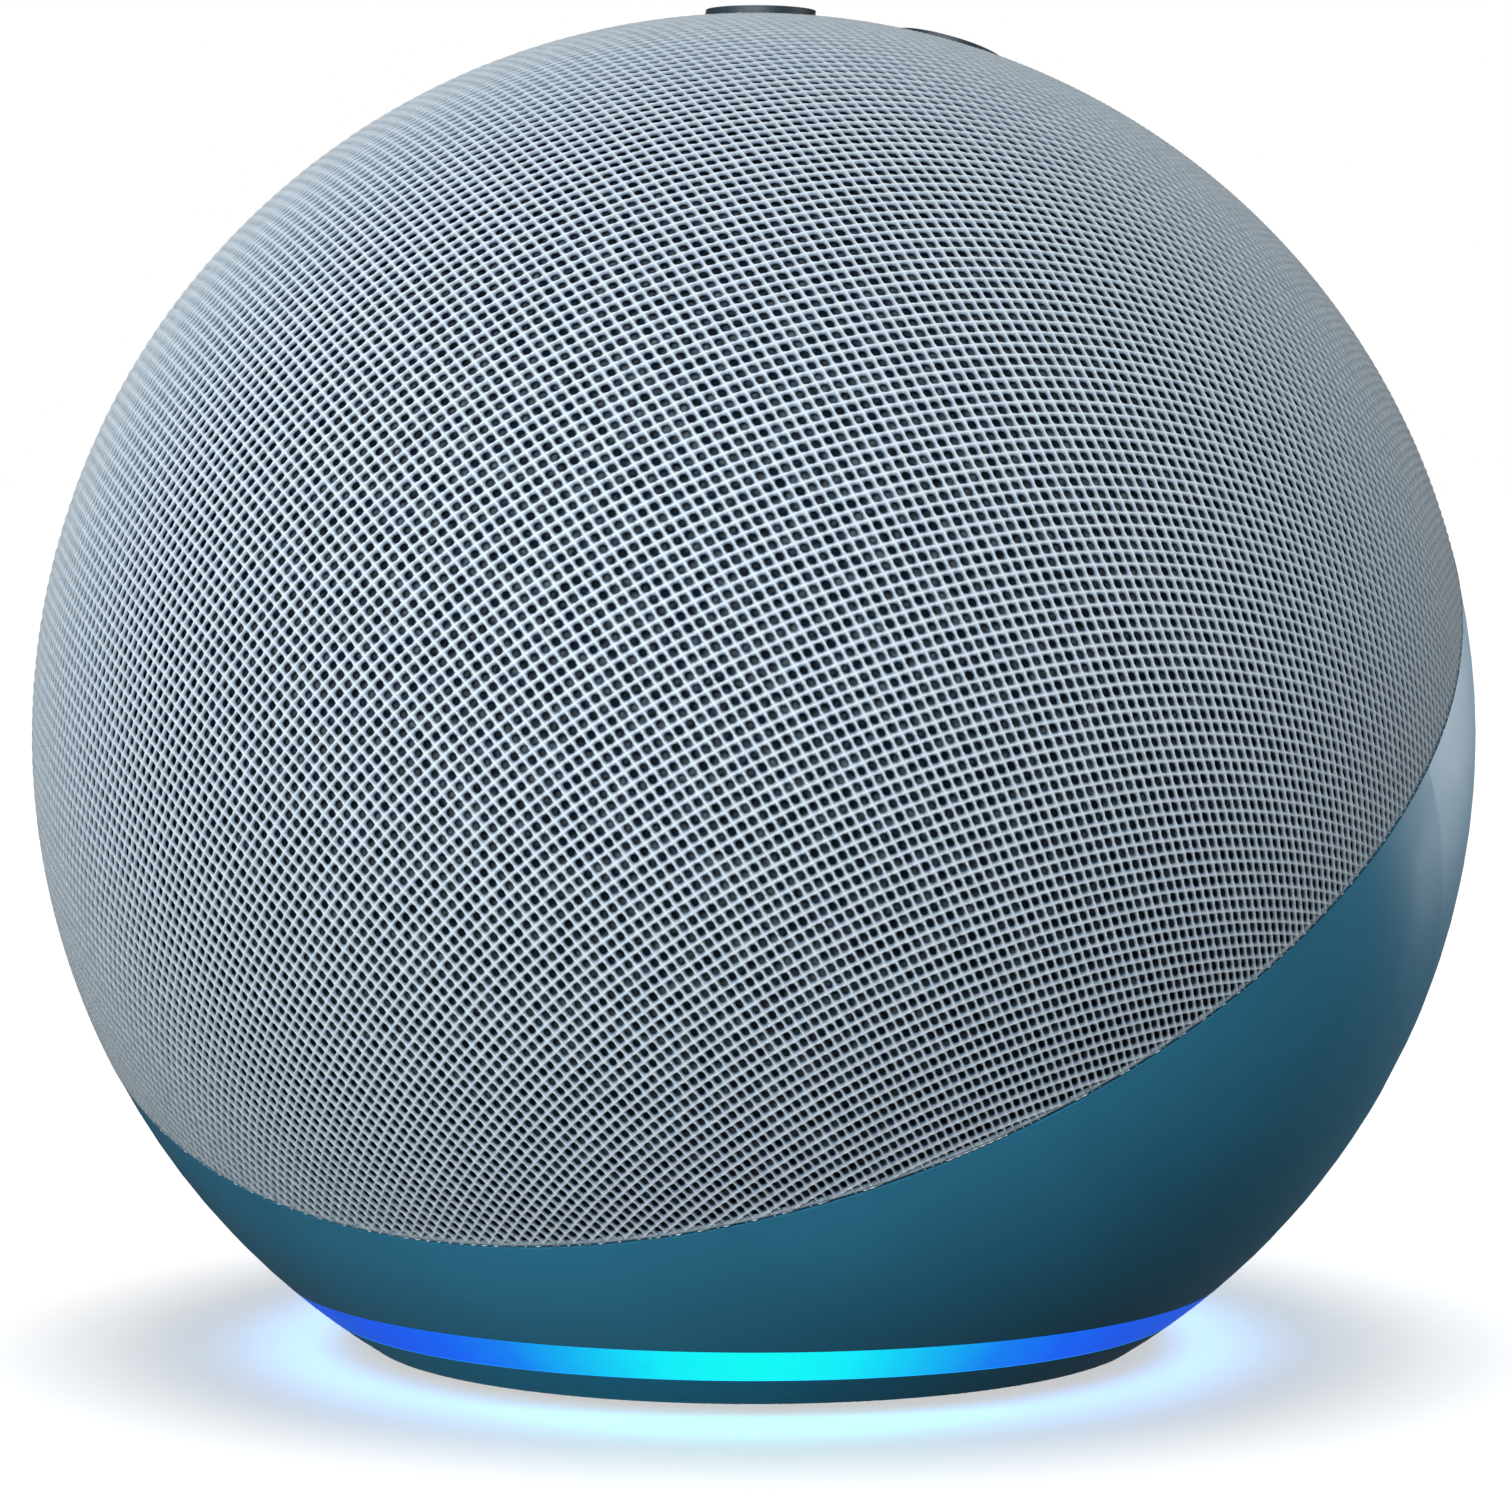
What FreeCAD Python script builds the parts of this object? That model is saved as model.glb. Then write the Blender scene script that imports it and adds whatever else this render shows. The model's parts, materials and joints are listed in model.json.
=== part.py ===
"""A ball-shaped smart speaker: a knit-covered grille dome and a plastic lower shell that meet on a tilted
plane, a light ring and foot underneath, four buttons on top, and the drivers and boards inside.

Row frame, in millimetres: the origin is on the table under the middle of the ball, +Z is up, -Y is the front.
"""

import FreeCAD, Part
import Sketcher
import math
import os
from types import SimpleNamespace

doc = FreeCAD.newDocument("SmartSpeaker")

# The driving dimensions, in millimetres and degrees.
DIMENSIONS = [
    # The ball.
    ("ball_radius", 72.0, "outer radius of the ball"),
    ("centre_height", 61.0, "height of the ball's centre over the table"),
    ("dome_tilt", 36.35, "lean of the dome's axis from upright, towards the front"),
    ("seam_offset", -1.25, "place of the seam plane along the dome's axis"),
    ("seam_gap", 0.3, "width of the seam between knit and shell"),
    ("fit_gap", 0.05, "gap left between two pieces that touch"),
    ("fabric_thickness", 0.8, "thickness of the knit"),
    ("fabric_wrap", 1.9, "how far the knit turns in round the grille's rim"),
    ("grille_thickness", 2.2, "wall of the grille dome"),
    ("perforation_radius", 2.5, "radius of a hole in the grille"),
    ("perforation_start", 60.0, "distance from the ball's centre at which each hole's tool starts"),
    ("shell_step", 0.1, "how far the shell lies inside the ball's surface"),
    ("shell_thickness", 2.9, "wall of the lower shell"),
    ("lip_radius", 68.85, "outer radius of the lip that centres the dome on the shell"),
    ("lip_inner_radius", 66.95, "inner radius of that lip"),
    ("lip_height", 3.9, "height of that lip over the seam"),
    ("lip_root", 6.0, "depth of the lip's root under the seam"),
    # The light ring and the base.
    ("ring_bottom", 3.5, "height of the light ring's lower edge"),
    ("ring_top", 6.9, "height of the light ring's upper edge"),
    ("ring_inner_radius", 40.4, "inner radius of the light guide"),
    ("guide_radius", 42.4, "outer radius of the light guide's collar"),
    ("guide_top", 9.0, "height of the light guide's collar"),
    ("base_bottom", 0.5, "height of the base cup's underside"),
    ("floor_bottom", 2.0, "underside of the base cup's floor"),
    ("floor_top", 4.2, "top of the base cup's floor"),
    ("foot_radius", 36.0, "radius of the rubber foot"),
    ("foot_hole_radius", 8.0, "radius of the hole in the foot"),
    ("upstand_radius", 40.1, "outer radius of the wall that carries the light board"),
    ("upstand_wall", 2.5, "thickness of that wall"),
    ("upstand_top", 9.85, "top of that wall"),
    ("insert_radius", 5.0, "outer radius of the tripod insert"),
    ("thread_radius", 2.6, "wall radius of the tripod insert's thread"),
    ("insert_length", 10.0, "length of the tripod insert"),
    ("insert_boss_radius", 7.4, "outer radius of the boss round the insert"),
    ("light_circle_radius", 41.4, "radius of the circle of light sources"),
    ("light_half_side", 0.8, "half the side of a light source"),
    ("light_height", 0.75, "height of a light source"),
    ("light_board_bottom", 9.9, "underside of the light board"),
    ("light_board_radius", 43.4, "outer radius of the light board"),
    ("light_board_hole", 33.0, "inner radius of the light board"),
    ("light_screw_circle", 38.85, "radius of the circle of screws in the light board"),
    ("board_thickness", 1.0, "thickness of the small boards"),
    ("column_circle_radius", 28.0, "radius of the circle of columns that the base screws go through"),
    ("column_radius", 3.6, "outer radius of a column"),
    ("base_screw_radius", 1.5, "radius of a base screw"),
    ("base_screw_head_radius", 2.8, "radius of its head"),
    ("base_screw_head_top", 3.6, "height of its head's upper side"),
    ("base_screw_top", 24.0, "height of its tip"),
    # The main board and the sockets.
    ("main_board_radius", 45.0, "radius of the main board"),
    ("main_board_bottom", 13.4, "underside of the main board"),
    ("main_board_thickness", 1.6, "thickness of the main board"),
    ("port_height", 18.4, "height of the two sockets"),
    ("port_half_spacing", 7.0, "half the distance between the sockets"),
    ("pocket_radius", 6.0, "radius of the recess's round ends"),
    ("pocket_wall", 1.6, "wall round the recess"),
    ("pocket_floor", 49.0, "distance of the recess's floor behind the middle"),
    ("power_nose_radius", 4.2, "outer radius of the power socket's nose"),
    ("power_bore_radius", 2.85, "radius of the power socket's bore"),
    ("power_pin_radius", 1.0, "radius of the power socket's pin"),
    ("power_depth", 11.0, "depth of the power socket's bore"),
    ("power_pin_length", 10.0, "length of the power socket's pin"),
    ("audio_nose_radius", 3.2, "outer radius of the audio socket's nose"),
    ("audio_bore_radius", 1.8, "radius of the audio socket's bore"),
    ("audio_depth", 14.0, "depth of the audio socket's bore"),
    # The speaker enclosure.
    ("tub_radius", 61.5, "outer radius of the speaker tub"),
    ("tub_ball_radius", 62.3, "radius of the ball that the tub stays inside"),
    ("tub_wall", 2.5, "wall of the speaker tub"),
    ("tub_bottom", 26.5, "height of the tub's flat underside"),
    ("tub_floor", 28.6, "height of the tub's inner floor"),
    ("tub_rim", 4.9, "place of the tub's rim along the dome's axis"),
    ("flange_radius", 67.2, "radius of the tub's flange"),
    ("flange_thickness", 1.9, "thickness of the tub's flange"),
    ("post_circle_radius", 64.6, "radius of the circle of posts that hold the tub"),
    ("post_radius", 3.0, "radius of such a post"),
    ("post_length", 12.0, "length of such a post"),
    ("baffle_radius", 60.9, "radius of the baffle"),
    ("baffle_thickness", 3.0, "thickness of the baffle"),
    ("baffle_screw_circle", 57.3, "radius of the circle of baffle screws"),
    ("baffle_boss_radius", 2.8, "radius of the bosses for the baffle screws"),
    ("screw_radius", 1.3, "radius of the screws that hold the speakers"),
    ("screw_head_radius", 2.2, "radius of those screws' heads"),
    ("screw_head_height", 1.4, "height of those screws' heads"),
    ("screw_length", 8.0, "length of those screws' shanks"),
    ("small_screw_radius", 0.9, "radius of the screws that hold the small boards"),
    ("small_head_radius", 1.6, "radius of those screws' heads"),
    # The woofer, along the dome's axis. Depths are below the baffle's front face.
    ("woofer_hole_radius", 36.0, "radius of the hole in the baffle"),
    ("woofer_flange_radius", 41.5, "radius of the woofer's frame"),
    ("woofer_screw_circle", 38.9, "radius of the circle of woofer screws"),
    ("gasket_thickness", 0.6, "thickness of the woofer's gasket"),
    ("coil_radius", 12.8, "outer radius of the voice coil's former"),
    ("coil_wall", 0.5, "thickness of the voice coil"),
    ("yoke_radius", 20.5, "radius of the woofer's yoke"),
    ("pole_radius", 11.8, "radius of the yoke's pole"),
    ("plate_bore_radius", 13.3, "radius of the hole in the top plate"),
    ("magnet_bore_radius", 15.0, "radius of the hole in the magnet"),
    ("magnet_radius", 20.0, "radius of the magnet"),
    ("cone_radius", 31.2, "radius of the woofer's cone"),
    ("cone_wall", 0.6, "thickness of the cone"),
    ("cone_depth", 11.4, "depth of the cone's neck"),
    ("roll_circle_radius", 33.3, "radius of the middle of the surround's roll"),
    ("roll_radius", 2.1, "outer radius of the surround's roll"),
    ("roll_wall", 0.6, "thickness of the surround"),
    ("spider_depth", 13.5, "depth of the spider"),
    ("plate_depth", 17.0, "depth of the top plate"),
    ("magnet_depth", 20.0, "depth of the magnet"),
    ("yoke_depth", 26.0, "depth of the yoke's back plate"),
    ("yoke_end", 29.0, "depth of the yoke's end"),
    # The tweeters, forward from the ball's centre.
    ("tweeter_lean", 92.0, "lean of the tweeters' axes from upright"),
    ("tweeter_spread", 24.0, "distance of each tweeter beside the middle"),
    ("pod_radius", 15.4, "radius of a tweeter's pod"),
    ("pod_back", 38.0, "distance of a pod's back"),
    ("pod_front", 53.0, "distance of a pod's front"),
    ("pod_wall", 1.6, "wall of a pod"),
    ("tweeter_plate", 1.5, "thickness of a tweeter's face plate"),
    ("tweeter_dome_radius", 8.6, "radius of a tweeter's dome"),
    ("tweeter_dome_rise", 3.0, "rise of a tweeter's dome"),
    ("tweeter_dome_wall", 0.4, "thickness of a tweeter's dome"),
    ("tweeter_coil_length", 2.8, "length of the coil under a tweeter's dome"),
    # The buttons, along the axis of the button cluster from the ball's centre.
    ("button_tilt", 12.3, "lean of the button cluster's axis from upright, towards the back"),
    ("button_circle_radius", 14.1, "radius of the circle of buttons"),
    ("button_radius", 5.5, "radius of a button"),
    ("button_clearance", 0.25, "gap round a button"),
    ("button_proud", 0.6, "how far the middle of a button stands out of the ball"),
    ("crown_radius", 300.0, "radius of a button's gently domed face"),
    ("button_flange_radius", 6.7, "radius of the flange under a button"),
    ("button_flange_bottom", 63.9, "distance of that flange's underside"),
    ("button_flange_top", 65.1, "distance of that flange's upper side"),
    ("stem_radius", 1.6, "radius of a button's stem"),
    ("stem_bottom", 62.3, "distance of the stem's tip"),
    ("carrier_bottom", 61.8, "distance of the button carrier's underside"),
    ("carrier_floor", 63.3, "distance of the button carrier's upper face"),
    ("carrier_radius", 26.4, "radius of the button carrier"),
    ("carrier_rim", 1.6, "thickness of the button carrier's rim"),
    ("spacer_radius", 2.2, "radius of the spacers under the button carrier"),
    ("top_board_radius", 24.5, "radius of the top board"),
    ("top_board_top", 58.0, "distance of the top board's upper face"),
    ("top_screw_circle", 20.5, "radius of the circle of screws in the top board"),
    ("switch_half_side", 3.0, "half the side of a switch"),
    ("switch_height", 3.5, "height of a switch's case"),
    ("plunger_radius", 1.5, "radius of a switch's plunger"),
    ("plunger_top", 61.75, "distance of a plunger's end"),
    ("mark_depth", 0.35, "depth of the mark on a button"),
    ("mark_reach", 2.0, "half the size of the mark on a button"),
    ("mark_stroke", 0.3, "half the width of a mark's line"),
    ("microphone_circle", 7.0, "radius of the circle of microphones"),
    ("microphone_height", 1.0, "height of a microphone"),
    # The ribbon cable.
    ("ribbon_radius", 62.46, "radius of the ribbon's run round the tub"),
    ("ribbon_thickness", 0.36, "thickness of the ribbon"),
    ("ribbon_front", 7.25, "place of the ribbon's front edge"),
    ("ribbon_back", 17.25, "place of the ribbon's back edge"),
]


class Size:
    """A number with the expression that gives it, so that whatever is worked out from sizes stays bound."""

    def __init__(self, value, text):
        self.value = float(value)
        self.text = text

    def __add__(self, other):
        other = size(other)
        return Size(self.value + other.value, f"({self.text} + {other.text})")

    def __sub__(self, other):
        other = size(other)
        return Size(self.value - other.value, f"({self.text} - {other.text})")

    def __mul__(self, other):
        other = size(other)
        return Size(self.value * other.value, f"({self.text} * {other.text})")

    def __truediv__(self, other):
        other = size(other)
        return Size(self.value / other.value, f"({self.text} / {other.text})")

    def __neg__(self):
        return Size(-self.value, f"(-1 * {self.text})")

    def __radd__(self, other):
        return size(other) + self

    def __rsub__(self, other):
        return size(other) - self

    def __rmul__(self, other):
        return size(other) * self


def size(number):
    """number as a Size."""
    return number if isinstance(number, Size) else Size(number, f"({float(number)})")


def sine(angle):
    return Size(math.sin(math.radians(angle.value)), f"sin({angle.text} * 1 deg)")


def cosine(angle):
    return Size(math.cos(math.radians(angle.value)), f"cos({angle.text} * 1 deg)")


def root(square):
    return Size(math.sqrt(square.value), f"sqrt({square.text})")


def make_sheet():
    """The spreadsheet of driving dimensions, and the same dimensions as Sizes."""
    sheet = doc.addObject("Spreadsheet::Sheet", "Dimensions")
    for row, (alias, value, note) in enumerate(DIMENSIONS, start=1):
        sheet.set(f"A{row}", note)
        sheet.set(f"B{row}", str(value))
        sheet.setAlias(f"B{row}", alias)
    doc.recompute()
    return SimpleNamespace(**{alias: Size(value, f"Dimensions.{alias}") for alias, value, _ in DIMENSIONS})


d = make_sheet()
ZERO = size(0)
FAR = d.ball_radius * 2
# A frame is (its lean from upright, the height of its origin). A lean turns it about the X axis.
UPRIGHT = (ZERO, ZERO)
CENTRE = (ZERO, d.centre_height)
DOME = (d.dome_tilt, d.centre_height)
TOP = (-d.button_tilt, d.centre_height)
BACKWARD = (size(-90), ZERO)
nodes = []


def bind(made, **sizes):
    """Binds properties of an object to the expressions of their sizes."""
    for name, value in sizes.items():
        made.setExpression(name, size(value).text)
    return made


def put(made, frame=UPRIGHT, x=0, y=0, z=0):
    """Stands an object at a point of a frame, with its own Z axis along the frame's."""
    lean, height = frame
    x, y, z = size(x), size(y), size(z)
    rotation = FreeCAD.Rotation(FreeCAD.Vector(1, 0, 0), lean.value)
    made.Placement = FreeCAD.Placement(FreeCAD.Vector(0, 0, 0), rotation)
    made.setExpression(".Placement.Base.x", x.text)
    made.setExpression(".Placement.Base.y", (y * cosine(lean) - z * sine(lean)).text)
    made.setExpression(".Placement.Base.z", (height + y * sine(lean) + z * cosine(lean)).text)
    if lean.value:
        made.setExpression(".Placement.Rotation.Angle", lean.text)
    return made


def node(made, label):
    """Marks an object as a finished sub-part, under the name that its file gets."""
    made.Label = label
    nodes.append(made)
    return made


# Primitives and booleans.


def cylinder(name, radius, height, frame=UPRIGHT, x=0, y=0, z=0):
    made = bind(doc.addObject("Part::Cylinder", name), Radius=radius, Height=height)
    return put(made, frame, x, y, z)


def sphere(name, radius, frame=DOME, z=0):
    made = bind(doc.addObject("Part::Sphere", name), Radius=radius)
    return put(made, frame, 0, 0, z)


def torus(name, circle_radius, pipe_radius, frame, z):
    made = bind(doc.addObject("Part::Torus", name), Radius1=circle_radius, Radius2=pipe_radius)
    return put(made, frame, 0, 0, z)


def box(name, low, high, frame=UPRIGHT):
    """A box between two opposite corners, given in the frame."""
    low, high = [size(v) for v in low], [size(v) for v in high]
    length, width, height = [b - a for a, b in zip(low, high)]
    made = bind(doc.addObject("Part::Box", name), Length=length, Width=width, Height=height)
    return put(made, frame, *low)


def tube(name, outer, inner, bottom, top, frame=UPRIGHT, x=0, y=0):
    """A ring with straight walls between two heights."""
    length = size(top) - bottom
    outside = cylinder(name + "_outside", outer, length, frame, x, y, bottom)
    inside = cylinder(name + "_inside", inner, length + 2, frame, x, y, size(bottom) - 1)
    return cut(name, outside, inside)


def slab(name, bottom, top, frame):
    """Everything between two heights of a frame."""
    return cylinder(name, FAR, size(top) - bottom, frame, 0, 0, bottom)


def above(name, height, frame):
    return cylinder(name, FAR, FAR, frame, 0, 0, height)


def below(name, height, frame):
    return cylinder(name, FAR, FAR, frame, 0, 0, size(height) - FAR)


def fuse(name, *parts):
    made = doc.addObject("Part::MultiFuse", name)
    made.Shapes = list(parts)
    return made


def common(name, *parts):
    made = doc.addObject("Part::MultiCommon", name)
    made.Shapes = list(parts)
    return made


def group(name, parts):
    """Separate solids kept together."""
    made = doc.addObject("Part::Compound", name)
    made.Links = list(parts)
    return made


def cut(name, base, *tools):
    made = doc.addObject("Part::Cut", name)
    made.Base = base
    made.Tool = tools[0] if len(tools) == 1 else fuse(name + "_tools", *tools)
    return made


def ring_of(count, radius, first_angle=0.0):
    """Points evenly spaced on a circle, as (x, y)."""
    angles = [math.radians(first_angle + 360.0 * i / count) for i in range(count)]
    return [(radius * math.cos(a), radius * math.sin(a)) for a in angles]


# Sketched bodies.


def sketch_on(body, role, name):
    """A sketch on one of the body's own origin planes."""
    plane = [f for f in body.Origin.OriginFeatures if f.Role == role][0]
    made = body.newObject("Sketcher::SketchObject", name)
    made.AttachmentSupport = (plane, [""])
    made.MapMode = "FlatFace"
    return made


def hold(sketch, kind, geometry, point, value):
    """Fixes one coordinate of a sketch's point to a size."""
    axis = {"DistanceX": -2, "DistanceY": -1}[kind]
    if value.value == 0:
        sketch.addConstraint(Sketcher.Constraint("PointOnObject", geometry, point, axis))
        return
    index = sketch.addConstraint(Sketcher.Constraint(kind, -1, 1, geometry, point, value.value))
    sketch.setExpression(f"Constraints[{index}]", value.text)


def turned(label, outline, frame=UPRIGHT, windows=()):
    """A body turned about its Z axis from an outline of (radius, height) corners."""
    corners = [(size(r), size(z)) for r, z in outline]
    body = doc.addObject("PartDesign::Body", label)
    sketch = sketch_on(body, "XZ_Plane", label + "_outline")
    points = [FreeCAD.Vector(r.value, z.value, 0) for r, z in corners]
    count = len(points)
    for i in range(count):
        sketch.addGeometry(Part.LineSegment(points[i], points[(i + 1) % count]), False)
    for i in range(count):
        sketch.addConstraint(Sketcher.Constraint("Coincident", i, 2, (i + 1) % count, 1))
    for i, (r, z) in enumerate(corners):
        hold(sketch, "DistanceX", i, 1, r)
        hold(sketch, "DistanceY", i, 1, z)
    turn = body.newObject("PartDesign::Revolution", label + "_turn")
    turn.Profile = sketch
    turn.ReferenceAxis = (sketch, ["V_Axis"])
    turn.Angle = 360
    return put(body, frame)


def plate(label, radius, thickness, holes, frame, z):
    """A round plate with round holes, padded from one sketch. holes lists (x, y, radius)."""
    body = doc.addObject("PartDesign::Body", label)
    sketch = sketch_on(body, "XY_Plane", label + "_outline")
    circles = [(ZERO, ZERO, size(radius))] + [(size(x), size(y), size(r)) for x, y, r in holes]
    for i, (x, y, r) in enumerate(circles):
        centre = FreeCAD.Vector(x.value, y.value, 0)
        sketch.addGeometry(Part.Circle(centre, FreeCAD.Vector(0, 0, 1), r.value), False)
        hold(sketch, "DistanceX", i, 3, x)
        hold(sketch, "DistanceY", i, 3, y)
        index = sketch.addConstraint(Sketcher.Constraint("Radius", i, r.value))
        sketch.setExpression(f"Constraints[{index}]", r.text)
    pad = body.newObject("PartDesign::Pad", label + "_pad")
    pad.Profile = sketch
    bind(pad, Length=thickness)
    return put(body, frame, 0, 0, z)


# Heights and places that follow from the driving dimensions.
KNIT_EDGE = d.seam_offset + d.seam_gap / 2
SHELL_EDGE = d.seam_offset - d.seam_gap / 2
GRILLE_RADIUS = d.ball_radius - d.fabric_thickness - d.fit_gap
GRILLE_INSIDE = GRILLE_RADIUS - d.grille_thickness
SHELL_RADIUS = d.ball_radius - d.shell_step
SHELL_INSIDE = SHELL_RADIUS - d.shell_thickness
BOARD_TOP = d.main_board_bottom + d.main_board_thickness
LIGHT_BOARD_TOP = d.light_board_bottom + d.board_thickness
FRONT = (d.tweeter_lean, d.centre_height)
SIDEWAYS = (size(-90), d.centre_height)
BAFFLE_FRONT = d.tub_rim + d.fit_gap + d.baffle_thickness
COLUMNS = ring_of(4, d.column_circle_radius.value, 45)
BAFFLE_SCREWS = ring_of(6, d.baffle_screw_circle.value, 0)
WOOFER_SCREWS = ring_of(4, d.woofer_screw_circle.value, 45)
POSTS = ring_of(4, d.post_circle_radius.value, 45)
BUTTONS = dict(zip(("volume_up", "microphone_mute", "volume_down", "action"),
                   ring_of(4, d.button_circle_radius.value, 0)))
MICROPHONES = ring_of(4, d.microphone_circle.value, 45)


# The knit and the grille.


def button_openings(name):
    """The round holes that the buttons stand in."""
    radius = d.button_radius + d.button_clearance
    height = d.ball_radius - d.carrier_floor + 3
    return [cylinder(f"{name}_{button}", radius, height, TOP, x, y, d.carrier_floor)
            for button, (x, y) in BUTTONS.items()]


def fabric_cover():
    """The knit's outer form, which turns in under the grille's rim."""
    outside = common("knit_outside", sphere("knit_ball", d.ball_radius), above("knit_above", KNIT_EDGE, DOME))
    inside = common("knit_inside", sphere("knit_inner_ball", d.ball_radius - d.fabric_thickness),
                    above("knit_inner_above", KNIT_EDGE + d.fabric_thickness, DOME))
    mouth_radius = d.ball_radius - d.fabric_thickness - d.fabric_wrap
    mouth = cylinder("knit_mouth", mouth_radius, 3, DOME, 0, 0, KNIT_EDGE - 1)
    node(cut("knit", outside, inside, mouth, *button_openings("knit_opening")), "fabric_cover")


def perforations():
    """Holes square to the grille, in rings round the dome's axis, clear of the buttons."""
    rings = 9
    step = 7.5
    clear = 27.0
    tilt = FreeCAD.Rotation(FreeCAD.Vector(1, 0, 0), d.dome_tilt.value)
    top = FreeCAD.Rotation(FreeCAD.Vector(1, 0, 0), -d.button_tilt.value).multVec(FreeCAD.Vector(0, 0, 1))
    centre = FreeCAD.Vector(0, 0, d.centre_height.value)
    holes = []
    for ring in range(1, rings + 1):
        for place in range(6 * ring):
            turn = FreeCAD.Rotation(FreeCAD.Vector(0, 0, 1), 60.0 * place / ring)
            lean = FreeCAD.Rotation(FreeCAD.Vector(0, 1, 0), step * ring)
            rotation = tilt.multiply(turn).multiply(lean)
            way = rotation.multVec(FreeCAD.Vector(0, 0, 1))
            if math.degrees(way.getAngle(top)) < clear:
                continue
            hole = bind(doc.addObject("Part::Cylinder", f"perforation_{ring}_{place}"),
                        Radius=d.perforation_radius, Height=d.ball_radius - d.perforation_start)
            hole.Placement = FreeCAD.Placement(centre + way * d.perforation_start.value, rotation)
            holes.append(hole)
    return group("perforations", holes)


def grille_dome():
    """The stiff dome under the knit, perforated in front of the speakers."""
    bottom = KNIT_EDGE + d.fabric_thickness + d.fit_gap
    outside = common("grille_outside", sphere("grille_ball", GRILLE_RADIUS), above("grille_above", bottom, DOME))
    shell = cut("grille_shell", outside, sphere("grille_inner_ball", GRILLE_INSIDE),
                *button_openings("grille_opening"))
    node(cut("grille", shell, perforations()), "grille_dome")


# The lower shell.


def recess(name, radius, start):
    """A slot-shaped block round both sockets, from start outwards."""
    length = FAR - start
    ends = [cylinder(f"{name}_{side}", radius, length, BACKWARD, d.port_half_spacing * side,
                     -d.port_height, start) for side in (-1, 1)]
    middle = box(f"{name}_middle", (-d.port_half_spacing, -d.port_height - radius, start),
                 (d.port_half_spacing, radius - d.port_height, FAR), BACKWARD)
    return fuse(name, middle, *ends)


def lower_shell():
    """The plastic half, with the lip that takes the dome, the posts for the tub and the recess."""
    inside = sphere("shell_inner_ball", SHELL_INSIDE)
    skin = cut("shell_skin", sphere("shell_ball", SHELL_RADIUS), inside)
    skin = common("shell_below_seam", skin, below("shell_below", SHELL_EDGE, DOME))
    root = common("lip_root", slab("lip_root_slab", SHELL_EDGE - d.lip_root, SHELL_EDGE, DOME),
                  sphere("lip_root_ball", SHELL_INSIDE + 0.3))
    lip = common("lip_wall", slab("lip_slab", SHELL_EDGE - 1, SHELL_EDGE + d.lip_height, DOME),
                 sphere("lip_ball", d.lip_radius))
    lip = cut("lip", fuse("lip_whole", root, lip), sphere("lip_inner_ball", d.lip_inner_radius))
    post_top = d.tub_rim - d.flange_thickness - d.fit_gap
    posts = [cylinder(f"post_{i}", d.post_radius, d.post_length, DOME, x, y, post_top - d.post_length)
             for i, (x, y) in enumerate(POSTS)]
    wall = common("pocket_block", recess("pocket_outside", d.pocket_radius + d.pocket_wall,
                                         d.pocket_floor - d.pocket_wall),
                  sphere("pocket_ball", SHELL_RADIUS - 0.5))
    whole = fuse("shell_whole", skin, lip, wall, *posts)
    bores = [cylinder(f"post_bore_{i}", d.screw_radius + d.fit_gap, d.screw_length + 1, DOME, x, y,
                      post_top - d.screw_length) for i, (x, y) in enumerate(POSTS)]
    noses = [cylinder(f"nose_hole_{side}", radius + 0.1, d.pocket_wall + 2, BACKWARD,
                      d.port_half_spacing * side, -d.port_height, d.pocket_floor - d.pocket_wall - 1)
             for side, radius in ((-1, d.audio_nose_radius), (1, d.power_nose_radius))]
    open_shell = cut("shell_open", whole, recess("pocket_inside", d.pocket_radius, d.pocket_floor),
                     below("shell_mouth", d.ring_top, UPRIGHT), *noses, *bores)
    node(open_shell, "lower_shell")


# The light ring, the base and the foot.


def light_ring():
    """The diffuser between base and shell, with the collar that takes the light in."""
    top = d.ring_top - d.fit_gap
    low = d.ring_bottom + d.fit_gap
    outer = FAR
    profile = turned("light_ring_profile", [(d.ring_inner_radius, low), (outer, low), (outer, top),
                                            (d.guide_radius, top), (d.guide_radius, d.guide_top),
                                            (d.ring_inner_radius, d.guide_top)])
    node(common("light_ring_band", profile, sphere("light_ring_ball", SHELL_RADIUS, CENTRE)), "light_ring")


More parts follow.
